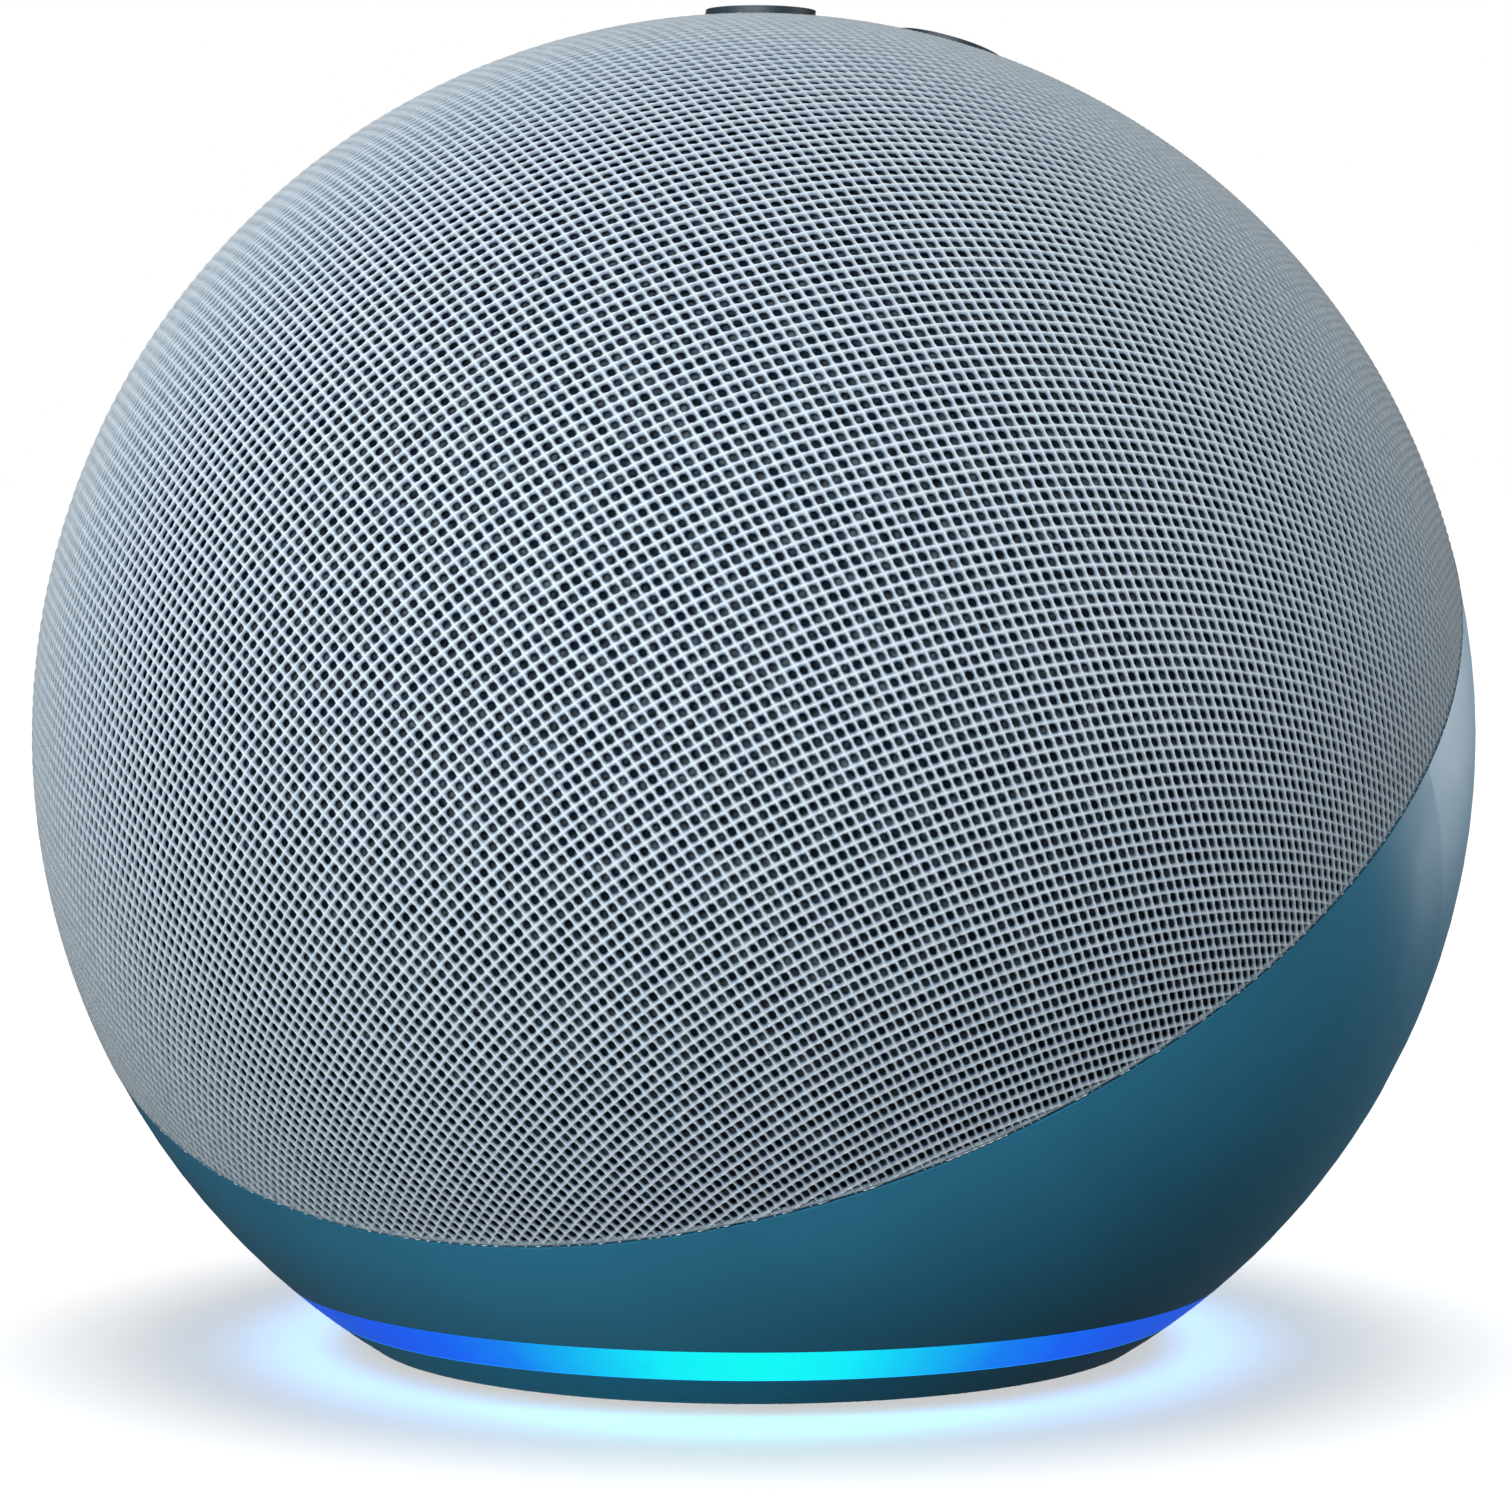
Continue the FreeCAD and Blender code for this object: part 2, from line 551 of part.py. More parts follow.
def base_cup():
    """The bottom of the case: a floor, the upstand for the light board, the columns and the insert's boss."""
    inner = d.upstand_radius - d.upstand_wall
    recess_radius = d.foot_radius + 0.2
    profile = turned("base_profile", [(0, d.floor_bottom), (recess_radius, d.floor_bottom),
                                      (recess_radius, d.base_bottom), (FAR, d.base_bottom),
                                      (FAR, d.ring_bottom), (d.upstand_radius, d.ring_bottom),
                                      (d.upstand_radius, d.upstand_top), (inner, d.upstand_top),
                                      (inner, d.floor_top), (0, d.floor_top)])
    dish = common("base_dish", profile, sphere("base_ball", SHELL_RADIUS, CENTRE))
    column_top = d.main_board_bottom - d.fit_gap
    columns = [cylinder(f"column_{i}", d.column_radius, column_top - d.floor_bottom, UPRIGHT, x, y,
                        d.floor_bottom) for i, (x, y) in enumerate(COLUMNS)]
    boss = cylinder("insert_boss", d.insert_boss_radius, d.insert_length, UPRIGHT, 0, 0, d.floor_bottom)
    whole = fuse("base_whole", dish, boss, *columns)
    bores = [cylinder(f"column_bore_{i}", d.base_screw_radius + 0.1, FAR, UPRIGHT, x, y, 0)
             for i, (x, y) in enumerate(COLUMNS)]
    heads = [cylinder(f"column_head_{i}", d.base_screw_head_radius + 0.15, d.base_screw_head_top, UPRIGHT,
                      x, y, 0) for i, (x, y) in enumerate(COLUMNS)]
    insert = cylinder("insert_bore", d.insert_radius, FAR, UPRIGHT, 0, 0, 0)
    screws = [cylinder(f"light_screw_bore_{i}", d.small_screw_radius + d.fit_gap, 5, UPRIGHT, x, y,
                       d.upstand_top - 4)
              for i, (x, y) in enumerate(ring_of(4, d.light_screw_circle.value, 45))]
    node(cut("base", whole, insert, *bores, *heads, *screws), "base_cup")


def foot_and_insert():
    foot_top = d.floor_bottom - d.fit_gap
    node(tube("foot", d.foot_radius, d.foot_hole_radius, 0, foot_top), "rubber_foot")
    bottom, top = d.floor_bottom, d.floor_bottom + d.insert_length
    node(turned("insert", [(d.thread_radius, bottom), (d.insert_radius, bottom), (d.insert_radius, top),
                           (d.thread_radius, top)]), "tripod_insert")


def light_board():
    """The ring of light sources that shine down into the collar."""
    inner, outer = d.light_board_hole, d.light_board_radius
    places = ring_of(4, d.light_screw_circle.value, 45)
    holes = [(ZERO, ZERO, inner)] + [(size(x), size(y), d.small_screw_radius + 0.1) for x, y in places]
    node(plate("light_board_plate", outer, d.board_thickness, holes, UPRIGHT, d.light_board_bottom),
         "light_board")
    half = d.light_half_side
    count = 24
    sources = []
    for i, (x, y) in enumerate(ring_of(count, d.light_circle_radius.value)):
        z = d.light_board_bottom - d.light_height
        sources.append(box(f"light_source_{i}", (x - half, y - half, z),
                           (x + half, y + half, d.light_board_bottom)))
    node(group("light_source_group", sources), "light_sources")
    screws = [screw(f"light_screw_{i}", d.small_screw_radius, d.small_head_radius, 1.0, 4.0, UPRIGHT, x, y,
                    LIGHT_BOARD_TOP) for i, (x, y) in enumerate(places)]
    node(group("light_screw_group", screws), "light_board_screws")


def screw(name, radius, head_radius, head_height, length, frame, x, y, seat, way=1):
    """A round-headed screw whose head sits on a face at seat. way is the side that the head is on."""
    head_height, length, gap = size(head_height), size(length), d.fit_gap
    if way > 0:
        head = cylinder(name + "_head", head_radius, head_height, frame, x, y, seat + gap)
        shank = cylinder(name + "_shank", radius, length + gap + 0.5, frame, x, y, seat - length)
    else:
        head = cylinder(name + "_head", head_radius, head_height, frame, x, y, seat - gap - head_height)
        shank = cylinder(name + "_shank", radius, length + gap + 0.5, frame, x, y, seat - gap - 0.5)
    return fuse(name, head, shank)


def base_screws():
    """Screws from under the foot, through the columns and the main board, into the tub."""
    head_top = d.base_screw_head_top
    length = d.base_screw_top - head_top
    screws = [screw(f"base_screw_{i}", d.base_screw_radius, d.base_screw_head_radius,
                    head_top - d.floor_bottom - d.fit_gap, length, UPRIGHT, x, y, head_top, way=-1)
              for i, (x, y) in enumerate(COLUMNS)]
    node(group("base_screw_group", screws), "base_screws")


# The main board and what is on it.


def main_board():
    holes = [(size(x), size(y), d.base_screw_radius + 0.2) for x, y in COLUMNS]
    node(plate("main_board_plate", d.main_board_radius, d.main_board_thickness, holes, UPRIGHT,
               d.main_board_bottom), "main_board")
    gap = d.fit_gap
    shield_top = BOARD_TOP + 3
    node(box("shield", (-13, -16, BOARD_TOP + gap), (13, 12, shield_top)), "processor_shield")
    node(box("pad", (-9, -12, shield_top + gap), (9, 8, shield_top + 1)), "thermal_pad")
    spreader_bottom = shield_top + 1 + gap
    node(box("spreader", (-14, -26, spreader_bottom), (14, 26, spreader_bottom + 2)), "heat_spreader")
    cans = [cylinder(f"capacitor_{i}", 3, 8, UPRIGHT, x, y, BOARD_TOP + gap)
            for i, (x, y) in enumerate(ring_of(4, 38.0, 240))]
    node(group("capacitor_group", cans[:3]), "capacitors")
    antennas = [box(f"antenna_{side}", (side * 37 - 0.4, -10, BOARD_TOP + gap),
                    (side * 37 + 0.4, 6, BOARD_TOP + 6)) for side in (-1, 1)]
    node(group("antenna_group", antennas), "antennas")


def socket(label, side, nose_radius, bore_radius, depth, half_width):
    """A socket's body: a block on the main board with a round nose through the recess's floor."""
    x = d.port_half_spacing * side
    back = d.pocket_floor - depth - 2
    front = d.pocket_floor - d.pocket_wall - 0.1
    block = box(label + "_block", (x - half_width, back, BOARD_TOP + d.fit_gap),
                (x + half_width, front, d.port_height + half_width))
    nose = cylinder(label + "_nose", nose_radius, d.pocket_floor - front + 1, BACKWARD, x, -d.port_height,
                    front - 1)
    bore = cylinder(label + "_bore", bore_radius, depth + 5, BACKWARD, x, -d.port_height,
                    d.pocket_floor - depth)
    return cut(label + "_body", fuse(label + "_whole", block, nose), bore)


def sockets():
    node(socket("audio", -1, d.audio_nose_radius, d.audio_bore_radius, d.audio_depth, 5.0), "audio_socket")
    node(socket("power", 1, d.power_nose_radius, d.power_bore_radius, d.power_depth, 5.6), "power_socket")
    start = d.pocket_floor - d.power_depth
    node(cylinder("pin", d.power_pin_radius, d.power_pin_length, BACKWARD, d.port_half_spacing,
                  -d.port_height, start), "power_pin")


# The speaker enclosure.


def tub_form(name, shrink, floor):
    """The tub's form, smaller by shrink, over a flat floor."""
    return common(name, cylinder(name + "_round", d.tub_radius - shrink, FAR, DOME, 0, 0,
                                 d.tub_rim - FAR + shrink),
                  sphere(name + "_ball", d.tub_ball_radius - shrink), above(name + "_floor", floor, UPRIGHT))


def speaker_tub():
    """The sealed volume behind the woofer, with a flange that is screwed to the shell's posts."""
    flange_bottom = d.tub_rim - d.flange_thickness
    flange = cylinder("flange", d.flange_radius, d.flange_thickness, DOME, 0, 0, flange_bottom)
    outside = fuse("tub_outer", flange, tub_form("tub_outside", ZERO, d.tub_bottom))
    walls = cut("tub_walls", outside, tub_form("tub_inside", d.tub_wall, d.tub_floor))
    boss_length = 12
    bosses = [cylinder(f"baffle_boss_{i}", d.baffle_boss_radius, boss_length, DOME, x, y,
                       d.tub_rim - boss_length) for i, (x, y) in enumerate(BAFFLE_SCREWS)]
    feet = [cylinder(f"tub_foot_{i}", d.column_radius, d.tub_floor - BOARD_TOP - d.fit_gap, UPRIGHT, x, y,
                     BOARD_TOP + d.fit_gap) for i, (x, y) in enumerate(COLUMNS)]
    baffle_bores = [cylinder(f"baffle_bore_{i}", d.screw_radius + d.fit_gap, d.screw_length + 1, DOME, x, y,
                             d.tub_rim - d.screw_length) for i, (x, y) in enumerate(BAFFLE_SCREWS)]
    post_bores = [cylinder(f"flange_bore_{i}", d.screw_radius + 0.2, 6, DOME, x, y, d.tub_rim - 4)
                  for i, (x, y) in enumerate(POSTS)]
    foot_bores = [cylinder(f"tub_foot_bore_{i}", d.base_screw_radius + d.fit_gap, d.base_screw_top, UPRIGHT,
                           x, y, 1) for i, (x, y) in enumerate(COLUMNS)]
    room = tube("ribbon_room", d.ribbon_radius + 1.2, d.ribbon_radius - 0.45, d.ribbon_front - 0.8,
                d.ribbon_back + 0.8, SIDEWAYS)
    notch = common("ribbon_notch", room, box("ribbon_side", (40, 0, 40), (80, 40, 100)))
    node(cut("tub", fuse("tub_whole", walls, *bosses, *feet), notch, *baffle_bores, *post_bores,
             *foot_bores), "speaker_tub")
    screws = [screw(f"tub_screw_{i}", d.screw_radius, d.screw_head_radius, d.screw_head_height,
                    d.screw_length, DOME, x, y, d.tub_rim) for i, (x, y) in enumerate(POSTS)]
    node(group("tub_screw_group", screws), "tub_screws")


def baffle():
    """The round plate that closes the tub and carries the woofer."""
    holes = [(ZERO, ZERO, d.woofer_hole_radius)]
    holes += [(size(x), size(y), d.screw_radius + 0.2) for x, y in BAFFLE_SCREWS]
    holes += [(size(x), size(y), d.screw_radius + d.fit_gap) for x, y in WOOFER_SCREWS]
    node(plate("baffle_plate", d.baffle_radius, d.baffle_thickness, holes, DOME, d.tub_rim + d.fit_gap),
         "baffle")
    screws = [screw(f"baffle_screw_{i}", d.screw_radius, d.screw_head_radius, d.screw_head_height,
                    d.screw_length, DOME, x, y, BAFFLE_FRONT) for i, (x, y) in enumerate(BAFFLE_SCREWS)]
    node(group("baffle_screw_group", screws), "baffle_screws")


# The woofer.


def depth(below_front):
    """A place along the dome's axis, from its depth below the baffle's front face."""
    return BAFFLE_FRONT - below_front


def woofer_frame():
    """The gasket, the basket and the screws that hold them."""
    seat = depth(-d.gasket_thickness)
    holes = [(ZERO, ZERO, d.woofer_hole_radius)]
    holes += [(size(x), size(y), d.screw_radius + 0.2) for x, y in WOOFER_SCREWS]
    gap = d.fit_gap
    node(plate("gasket", d.woofer_flange_radius, d.gasket_thickness - gap * 2, holes, DOME,
               BAFFLE_FRONT + gap), "woofer_gasket")
    wall = 1.2
    rim = seat + 1.6
    ledge = depth(d.spider_depth)
    foot = depth(d.plate_depth - gap)
    throat = d.woofer_hole_radius - 0.4
    basket = turned("basket_form", [(d.woofer_flange_radius, seat), (d.woofer_flange_radius, rim),
                                    (throat - wall, rim), (throat - wall, depth(3)), (26, ledge),
                                    (24, ledge), (24, foot + wall), (13.6, foot + wall), (13.6, foot),
                                    (26, foot), (27.4, ledge), (throat, depth(3)), (throat, seat)], DOME)
    vents = [cylinder(f"basket_vent_{i}", 2.4, 11, DOME, x, y, depth(13.2)) for i, (x, y) in
             enumerate(ring_of(12, 30.8))]
    bores = [cylinder(f"basket_bore_{i}", d.screw_radius + 0.2, 6, DOME, x, y, seat - 2)
             for i, (x, y) in enumerate(WOOFER_SCREWS)]
    node(cut("basket", basket, *vents, *bores), "woofer_basket")
    screws = [screw(f"woofer_screw_{i}", d.screw_radius, d.screw_head_radius, d.screw_head_height,
                    size(4.5), DOME, x, y, rim) for i, (x, y) in enumerate(WOOFER_SCREWS)]
    node(group("woofer_screw_group", screws), "woofer_screws")


def woofer_motor():
    """The top plate, the magnet and the yoke."""
    top, middle, back, end = [depth(v) for v in (d.plate_depth, d.magnet_depth, d.yoke_depth, d.yoke_end)]
    gap = d.fit_gap
    node(turned("top_plate_form", [(d.plate_bore_radius, middle + gap), (d.yoke_radius, middle + gap),
                                   (d.yoke_radius, top), (d.plate_bore_radius, top)], DOME),
         "woofer_top_plate")
    node(turned("magnet_form", [(d.magnet_bore_radius, back + gap), (d.magnet_radius, back + gap),
                                (d.magnet_radius, middle), (d.magnet_bore_radius, middle)], DOME),
         "woofer_magnet")
    node(turned("yoke_form", [(0, end), (d.yoke_radius, end), (d.yoke_radius, back), (d.pole_radius, back),
                              (d.pole_radius, top), (0, top)], DOME), "woofer_yoke")


def woofer_moving():
    """What moves: the cone, the dust cap, the voice coil, and the surround and spider that flex."""
    edge = depth(-1.6)
    neck = depth(d.cone_depth)
    wall = d.cone_wall
    node(turned("cone_form", [(d.coil_radius + 0.1, neck), (d.cone_radius, edge), (d.cone_radius, edge + wall),
                              (d.coil_radius + 0.1, neck + wall * 2)], DOME), "woofer_cone")
    rise = 4.0
    cap_ball = (d.coil_radius * d.coil_radius + rise * rise) / (2 * rise)
    seat = neck + 2.4
    cap_centre = seat + rise - cap_ball
    cap = cut("cap_shell", sphere("cap_ball", cap_ball, DOME, cap_centre),
              sphere("cap_inner_ball", cap_ball - wall, DOME, cap_centre))
    node(common("dust_cap", cap, above("cap_above", seat, DOME)), "woofer_dust_cap")
    node(tube("voice_coil", d.coil_radius, d.coil_radius - d.coil_wall, depth(23), neck + 1.1, DOME),
         "woofer_voice_coil")
    outer_edge = d.woofer_hole_radius + 0.2
    roll_bottom = depth(-2.3)
    roll = cut("roll_whole", torus("roll_outside", d.roll_circle_radius, d.roll_radius, DOME, roll_bottom),
               torus("roll_inside", d.roll_circle_radius, d.roll_radius - d.roll_wall, DOME, roll_bottom))
    roll = common("roll", roll, above("roll_above", roll_bottom, DOME))
    rim = tube("roll_rim", outer_edge, d.roll_circle_radius + d.roll_radius - d.roll_wall, roll_bottom,
               roll_bottom + d.roll_wall, DOME)
    node(fuse("surround", roll, rim), "woofer_surround")
    inner, outer, low = d.coil_radius + 0.3, size(23.8), depth(d.spider_depth - 0.2)
    folds = 8
    pitch = (outer - inner) / folds
    heights = [low + (0.8 if i % 2 else 0) for i in range(folds + 1)]
    under = [(inner + pitch * i, z) for i, z in enumerate(heights)]
    over = [(r, z + 0.4) for r, z in reversed(under)]
    node(turned("spider_form", under + over, DOME), "woofer_spider")


# The tweeters.


def tweeter(side):
    """A small dome speaker in its own pod, on a strut that stands on the baffle."""
    name = "left" if side > 0 else "right"
    x = d.tweeter_spread * side
    gap = d.fit_gap
    strut = cylinder(name + "_strut", 3, 10, DOME, x, -44, BAFFLE_FRONT + gap)
    body = fuse(name + "_pod_body", strut, cylinder(name + "_pod_outside", d.pod_radius,
                d.pod_front - d.pod_back, FRONT, x, 0, d.pod_back))
    floor = d.pod_back + d.pod_wall
    cavity = cylinder(name + "_pod_inside", d.pod_radius - d.pod_wall, FAR, FRONT, x, 0, floor)
    node(cut(name + "_pod", body, cavity), name + "_tweeter_pod")
    node(tube(name + "_face", d.pod_radius, d.tweeter_dome_radius + 0.6, d.pod_front + gap,
              d.pod_front + gap + d.tweeter_plate, FRONT, x), name + "_tweeter_plate")
    pot = cylinder(name + "_pot", 12.4, d.pod_front - 1.8 - floor - gap, FRONT, x, 0, floor + gap)
    groove = tube(name + "_groove", d.tweeter_dome_radius + 0.4, d.tweeter_dome_radius - 0.8,
                  d.pod_front - 6, d.pod_front, FRONT, x)
    node(cut(name + "_motor", pot, groove), name + "_tweeter_motor")
    radius, rise, wall = d.tweeter_dome_radius, d.tweeter_dome_rise, d.tweeter_dome_wall
    ball = (radius * radius + rise * rise) / (2 * rise)
    seat = d.pod_front - 0.6
    parts = []
    for part, less in (("outside", ZERO), ("inside", wall)):
        made = bind(doc.addObject("Part::Sphere", f"{name}_dome_{part}"), Radius=ball - less)
        parts.append(put(made, FRONT, x, 0, seat + rise - ball))
    cap = common(name + "_cap", cut(name + "_cap_shell", *parts),
                 cylinder(name + "_cap_above", radius + 5, FAR, FRONT, x, 0, seat))
    coil = tube(name + "_coil", radius, radius - wall, seat - d.tweeter_coil_length, seat + 0.15, FRONT, x)
    node(fuse(name + "_dome", cap, coil), name + "_tweeter_dome")


# The buttons and the top board.


def crown(name, x, y, sink):
    """A large ball whose surface is the face of the button at (x, y), or lies under it by sink."""
    made = bind(doc.addObject("Part::Sphere", name), Radius=d.crown_radius - sink)
    back = (d.crown_radius - d.ball_radius - d.button_proud) / d.ball_radius
    upright = root(d.ball_radius * d.ball_radius - x * x - y * y)
    return put(made, TOP, -back * x, -back * y, -back * upright)


def marks(name, button, x, y):
    """The sunk mark on a button's face: a plus, a minus, a dot, or a crossed circle."""
    low, high = d.ball_radius - d.mark_depth - 2.5, d.ball_radius + d.button_proud + 1
    reach, stroke = d.mark_reach, d.mark_stroke
    bars = {"across": (reach, stroke), "along": (stroke, reach)}
    chosen = {"volume_up": ("across", "along"), "volume_down": ("across",), "microphone_mute": ("along",)}
    made = []
    for bar in chosen.get(button, ()):
        across, along = bars[bar]
        made.append(box(f"{name}_{bar}", (x - across, y - along, low), (x + across, y + along, high), TOP))
    if button == "action":
        made.append(cylinder(name + "_dot", stroke * 3, high - low, TOP, x, y, low))
    if button == "microphone_mute":
        made.append(tube(name + "_circle", reach + stroke, reach - stroke, low, high, TOP, x, y))
    bars = fuse(name + "_bars", *made) if len(made) > 1 else made[0]
    return cut(name, bars, crown(name + "_floor", x, y, d.mark_depth))


def button(label, x, y):
    """A nearly flat cap, with a flange that keeps it in and a stem down to its switch."""
    cap = common(label + "_cap", cylinder(label + "_round", d.button_radius, FAR, TOP, x, y,
                                          d.button_flange_bottom), crown(label + "_crown", x, y, 0))
    flange = cylinder(label + "_flange", d.button_flange_radius,
                      d.button_flange_top - d.button_flange_bottom, TOP, x, y, d.button_flange_bottom)
    stem = cylinder(label + "_stem", d.stem_radius, d.button_flange_top - d.stem_bottom, TOP, x, y,
                    d.stem_bottom)
    node(cut(label + "_form", fuse(label + "_whole", cap, flange, stem), marks(label + "_mark", label, x, y)),
         label + "_button")


def button_carrier():
    """The plate that guides the stems, with a rim up to the grille and spacers down to the board."""
    reach = sphere("carrier_ball", GRILLE_INSIDE - d.fit_gap, TOP)
    block = common("carrier_block", cylinder("carrier_round", d.carrier_radius, 10, TOP, 0, 0,
                                             d.carrier_bottom), reach)
    dish = cut("carrier_dish", block, cylinder("carrier_inside", d.carrier_radius - d.carrier_rim, 10, TOP,
                                               0, 0, d.carrier_floor))
    spots = ring_of(4, d.top_screw_circle.value, 45)
    spacer_bottom = d.top_board_top + d.fit_gap
    spacers = [cylinder(f"spacer_{i}", d.spacer_radius, d.carrier_floor - spacer_bottom, TOP, x, y,
                        spacer_bottom) for i, (x, y) in enumerate(spots)]
    stems = [cylinder(f"stem_hole_{button}", d.stem_radius + 0.2, 10, TOP, x, y, d.top_board_top)
             for button, (x, y) in BUTTONS.items()]
    bores = [cylinder(f"spacer_bore_{i}", d.small_screw_radius + d.fit_gap, 3.5, TOP, x, y,
                      d.top_board_top - 0.5) for i, (x, y) in enumerate(spots)]
    ports = [cylinder(f"sound_hole_{i}", 0.8, 10, TOP, x, y, d.top_board_top)
             for i, (x, y) in enumerate(MICROPHONES)]
    node(cut("carrier", fuse("carrier_whole", dish, *spacers), *stems, *bores, *ports), "button_carrier")


def top_board():
    """The board under the buttons, with its switches, its microphones and their rubber tubes."""
    spots = ring_of(4, d.top_screw_circle.value, 45)
    bottom = d.top_board_top - d.board_thickness
    holes = [(size(x), size(y), d.small_screw_radius + 0.1) for x, y in spots]
    node(plate("top_board_plate", d.top_board_radius, d.board_thickness, holes, TOP, bottom), "top_board")
    screws = [screw(f"top_screw_{i}", d.small_screw_radius, d.small_head_radius, 1.0, 3.5, TOP, x, y, bottom,
                    way=-1) for i, (x, y) in enumerate(spots)]
    node(group("top_screw_group", screws), "top_board_screws")
    half, base = d.switch_half_side, d.top_board_top + d.fit_gap
    case_top = d.top_board_top + d.switch_height
    switches = []
    for name, (x, y) in BUTTONS.items():
        case = box(f"{name}_case", (x - half, y - half, base), (x + half, y + half, case_top), TOP)
        plunger = cylinder(f"{name}_plunger", d.plunger_radius, d.plunger_top - base, TOP, x, y, base)
        switches.append(fuse(f"{name}_switch", case, plunger))
    node(group("switch_group", switches), "tactile_switches")
    chip_top = base + d.microphone_height
    chips = [box(f"microphone_{i}", (x - 1.6, y - 1.2, base), (x + 1.6, y + 1.2, chip_top), TOP)
             for i, (x, y) in enumerate(MICROPHONES)]
    node(group("microphone_group", chips), "microphones")
    tubes = [tube(f"microphone_tube_{i}", 1.8, 0.7, chip_top + d.fit_gap, d.carrier_bottom - d.fit_gap, TOP,
                  x, y) for i, (x, y) in enumerate(MICROPHONES)]
    node(group("microphone_tube_group", tubes), "microphone_tubes")


def ribbon_cable():
    """The flat cable from the top board round the tub to the main board, and its two connectors."""
    half = d.ribbon_thickness / 2
    strip = tube("ribbon_hoop", d.ribbon_radius + half, d.ribbon_radius - half, d.ribbon_front, d.ribbon_back,
                 SIDEWAYS)
    start, end = d.top_board_radius + 1.9, BOARD_TOP + 0.9
    window = box("ribbon_window", (start, d.ribbon_front - 1, end), (d.ball_radius, d.ribbon_back + 1, 120))
    node(common("ribbon", strip, window), "ribbon_cable")
    gap = d.fit_gap
    front, back = d.ribbon_front, d.ribbon_back
    lower = box("ribbon_lower", (36.8, front, BOARD_TOP + gap), (41.6, back, BOARD_TOP + 2.5))
    under = d.top_board_top - d.board_thickness
    upper = box("ribbon_upper", (18.6, -5, under - 2.2), (22.4, 5, under - gap), TOP)
    node(group("connector_pair", [lower, upper]), "ribbon_connectors")


def check_and_write():
    """Recomputes, stops on any failed object, and writes each sub-part's file."""
    doc.recompute()
    failed = [o.Name for o in doc.Objects if {"Invalid", "Error"} & set(o.State)]
    if failed:
        raise RuntimeError(f"failed objects: {failed}")
    os.makedirs("parts", exist_ok=True)
    for made in nodes:
        shape = made.Shape
        if shape.isNull() or not shape.isValid() or not shape.Solids:
            raise RuntimeError(f"{made.Label} has no valid shape")
        shape.exportStep(f"parts/{made.Label}.step")
        print(f"{made.Label}: {len(shape.Solids)} solid(s), {shape.Volume / 1000:.2f} cm3")
    print(f"{len(nodes)} sub-parts")


fabric_cover()
grille_dome()
lower_shell()
light_ring()
base_cup()
foot_and_insert()
light_board()
base_screws()
main_board()
sockets()
speaker_tub()
baffle()
woofer_frame()
woofer_motor()
woofer_moving()
for side in (1, -1):
    tweeter(side)
for label, (x, y) in BUTTONS.items():
    button(label, x, y)
button_carrier()
top_board()
ribbon_cable()
check_and_write()
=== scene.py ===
"""The looks of a ball-shaped smart speaker.

It has knit over its dome, a plastic shell and a glowing ring, and stands in a pale studio.
"""

import json
import math

import bpy
import numpy as np
from mathutils import Matrix, Vector

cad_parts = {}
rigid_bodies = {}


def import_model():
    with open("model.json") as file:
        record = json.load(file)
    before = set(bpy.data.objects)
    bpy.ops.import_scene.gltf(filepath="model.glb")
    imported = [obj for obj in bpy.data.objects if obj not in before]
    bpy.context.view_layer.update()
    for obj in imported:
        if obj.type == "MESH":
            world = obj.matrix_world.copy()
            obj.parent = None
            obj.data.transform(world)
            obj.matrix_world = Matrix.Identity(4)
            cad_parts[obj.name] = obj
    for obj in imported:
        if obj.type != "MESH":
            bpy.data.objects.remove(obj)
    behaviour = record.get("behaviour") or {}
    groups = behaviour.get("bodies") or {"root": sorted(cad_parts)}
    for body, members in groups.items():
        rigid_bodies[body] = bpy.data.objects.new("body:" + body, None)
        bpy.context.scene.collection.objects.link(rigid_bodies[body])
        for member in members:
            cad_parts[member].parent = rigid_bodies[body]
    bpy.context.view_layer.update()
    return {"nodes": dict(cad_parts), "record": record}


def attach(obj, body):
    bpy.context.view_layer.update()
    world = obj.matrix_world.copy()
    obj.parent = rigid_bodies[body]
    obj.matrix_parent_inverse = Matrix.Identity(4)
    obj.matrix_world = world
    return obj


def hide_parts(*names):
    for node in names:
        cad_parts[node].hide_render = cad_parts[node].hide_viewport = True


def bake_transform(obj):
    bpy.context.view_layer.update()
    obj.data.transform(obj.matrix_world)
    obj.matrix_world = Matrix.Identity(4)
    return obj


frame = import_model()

nodes = frame["nodes"]
MM = 0.001

# The ball, as in the CAD model.
BALL_RADIUS = 72.0 * MM
CENTRE = Vector((0, 0, 61.0 * MM))
DOME_TILT = math.radians(36.35)
BUTTON_TILT = math.radians(-12.3)
SEAM_OFFSET = -1.25 * MM
SEAM_GAP = 0.3 * MM

DOME = Matrix.Translation(CENTRE) @ Matrix.Rotation(DOME_TILT, 4, "X")
TOP = Matrix.Translation(CENTRE) @ Matrix.Rotation(BUTTON_TILT, 4, "X")

BUTTON_CIRCLE = 14.1 * MM
BUTTON_OPENING = 5.75 * MM

rng = np.random.default_rng(4)

# The photograph's viewpoint. The ring's cyan part faces its azimuth too.
FACING = 28.9
ELEVATION = 3.3
RADII_AWAY = 7

# How bright the room is in what it lights, and in reflections.
ROOM_LIGHT = 0.05
ROOM_GLOSS = 0.1
# In what the ring lights, how much brighter it is than it looks, and how far its colour turns to GLOW_COLOUR.
RING_LIGHT = 2.6
GLOW_BLEND = 0.5
GLOW_COLOUR = (0.10, 0.60, 0.95, 1)


# Camera and stage.


def direction(azimuth, elevation):
    """The way from the object towards a viewer. Azimuth 0 is in front, and it grows towards +X."""
    a, e = math.radians(azimuth), math.radians(elevation)
    return Vector((math.sin(a) * math.cos(e), -math.cos(a) * math.cos(e), math.sin(e)))


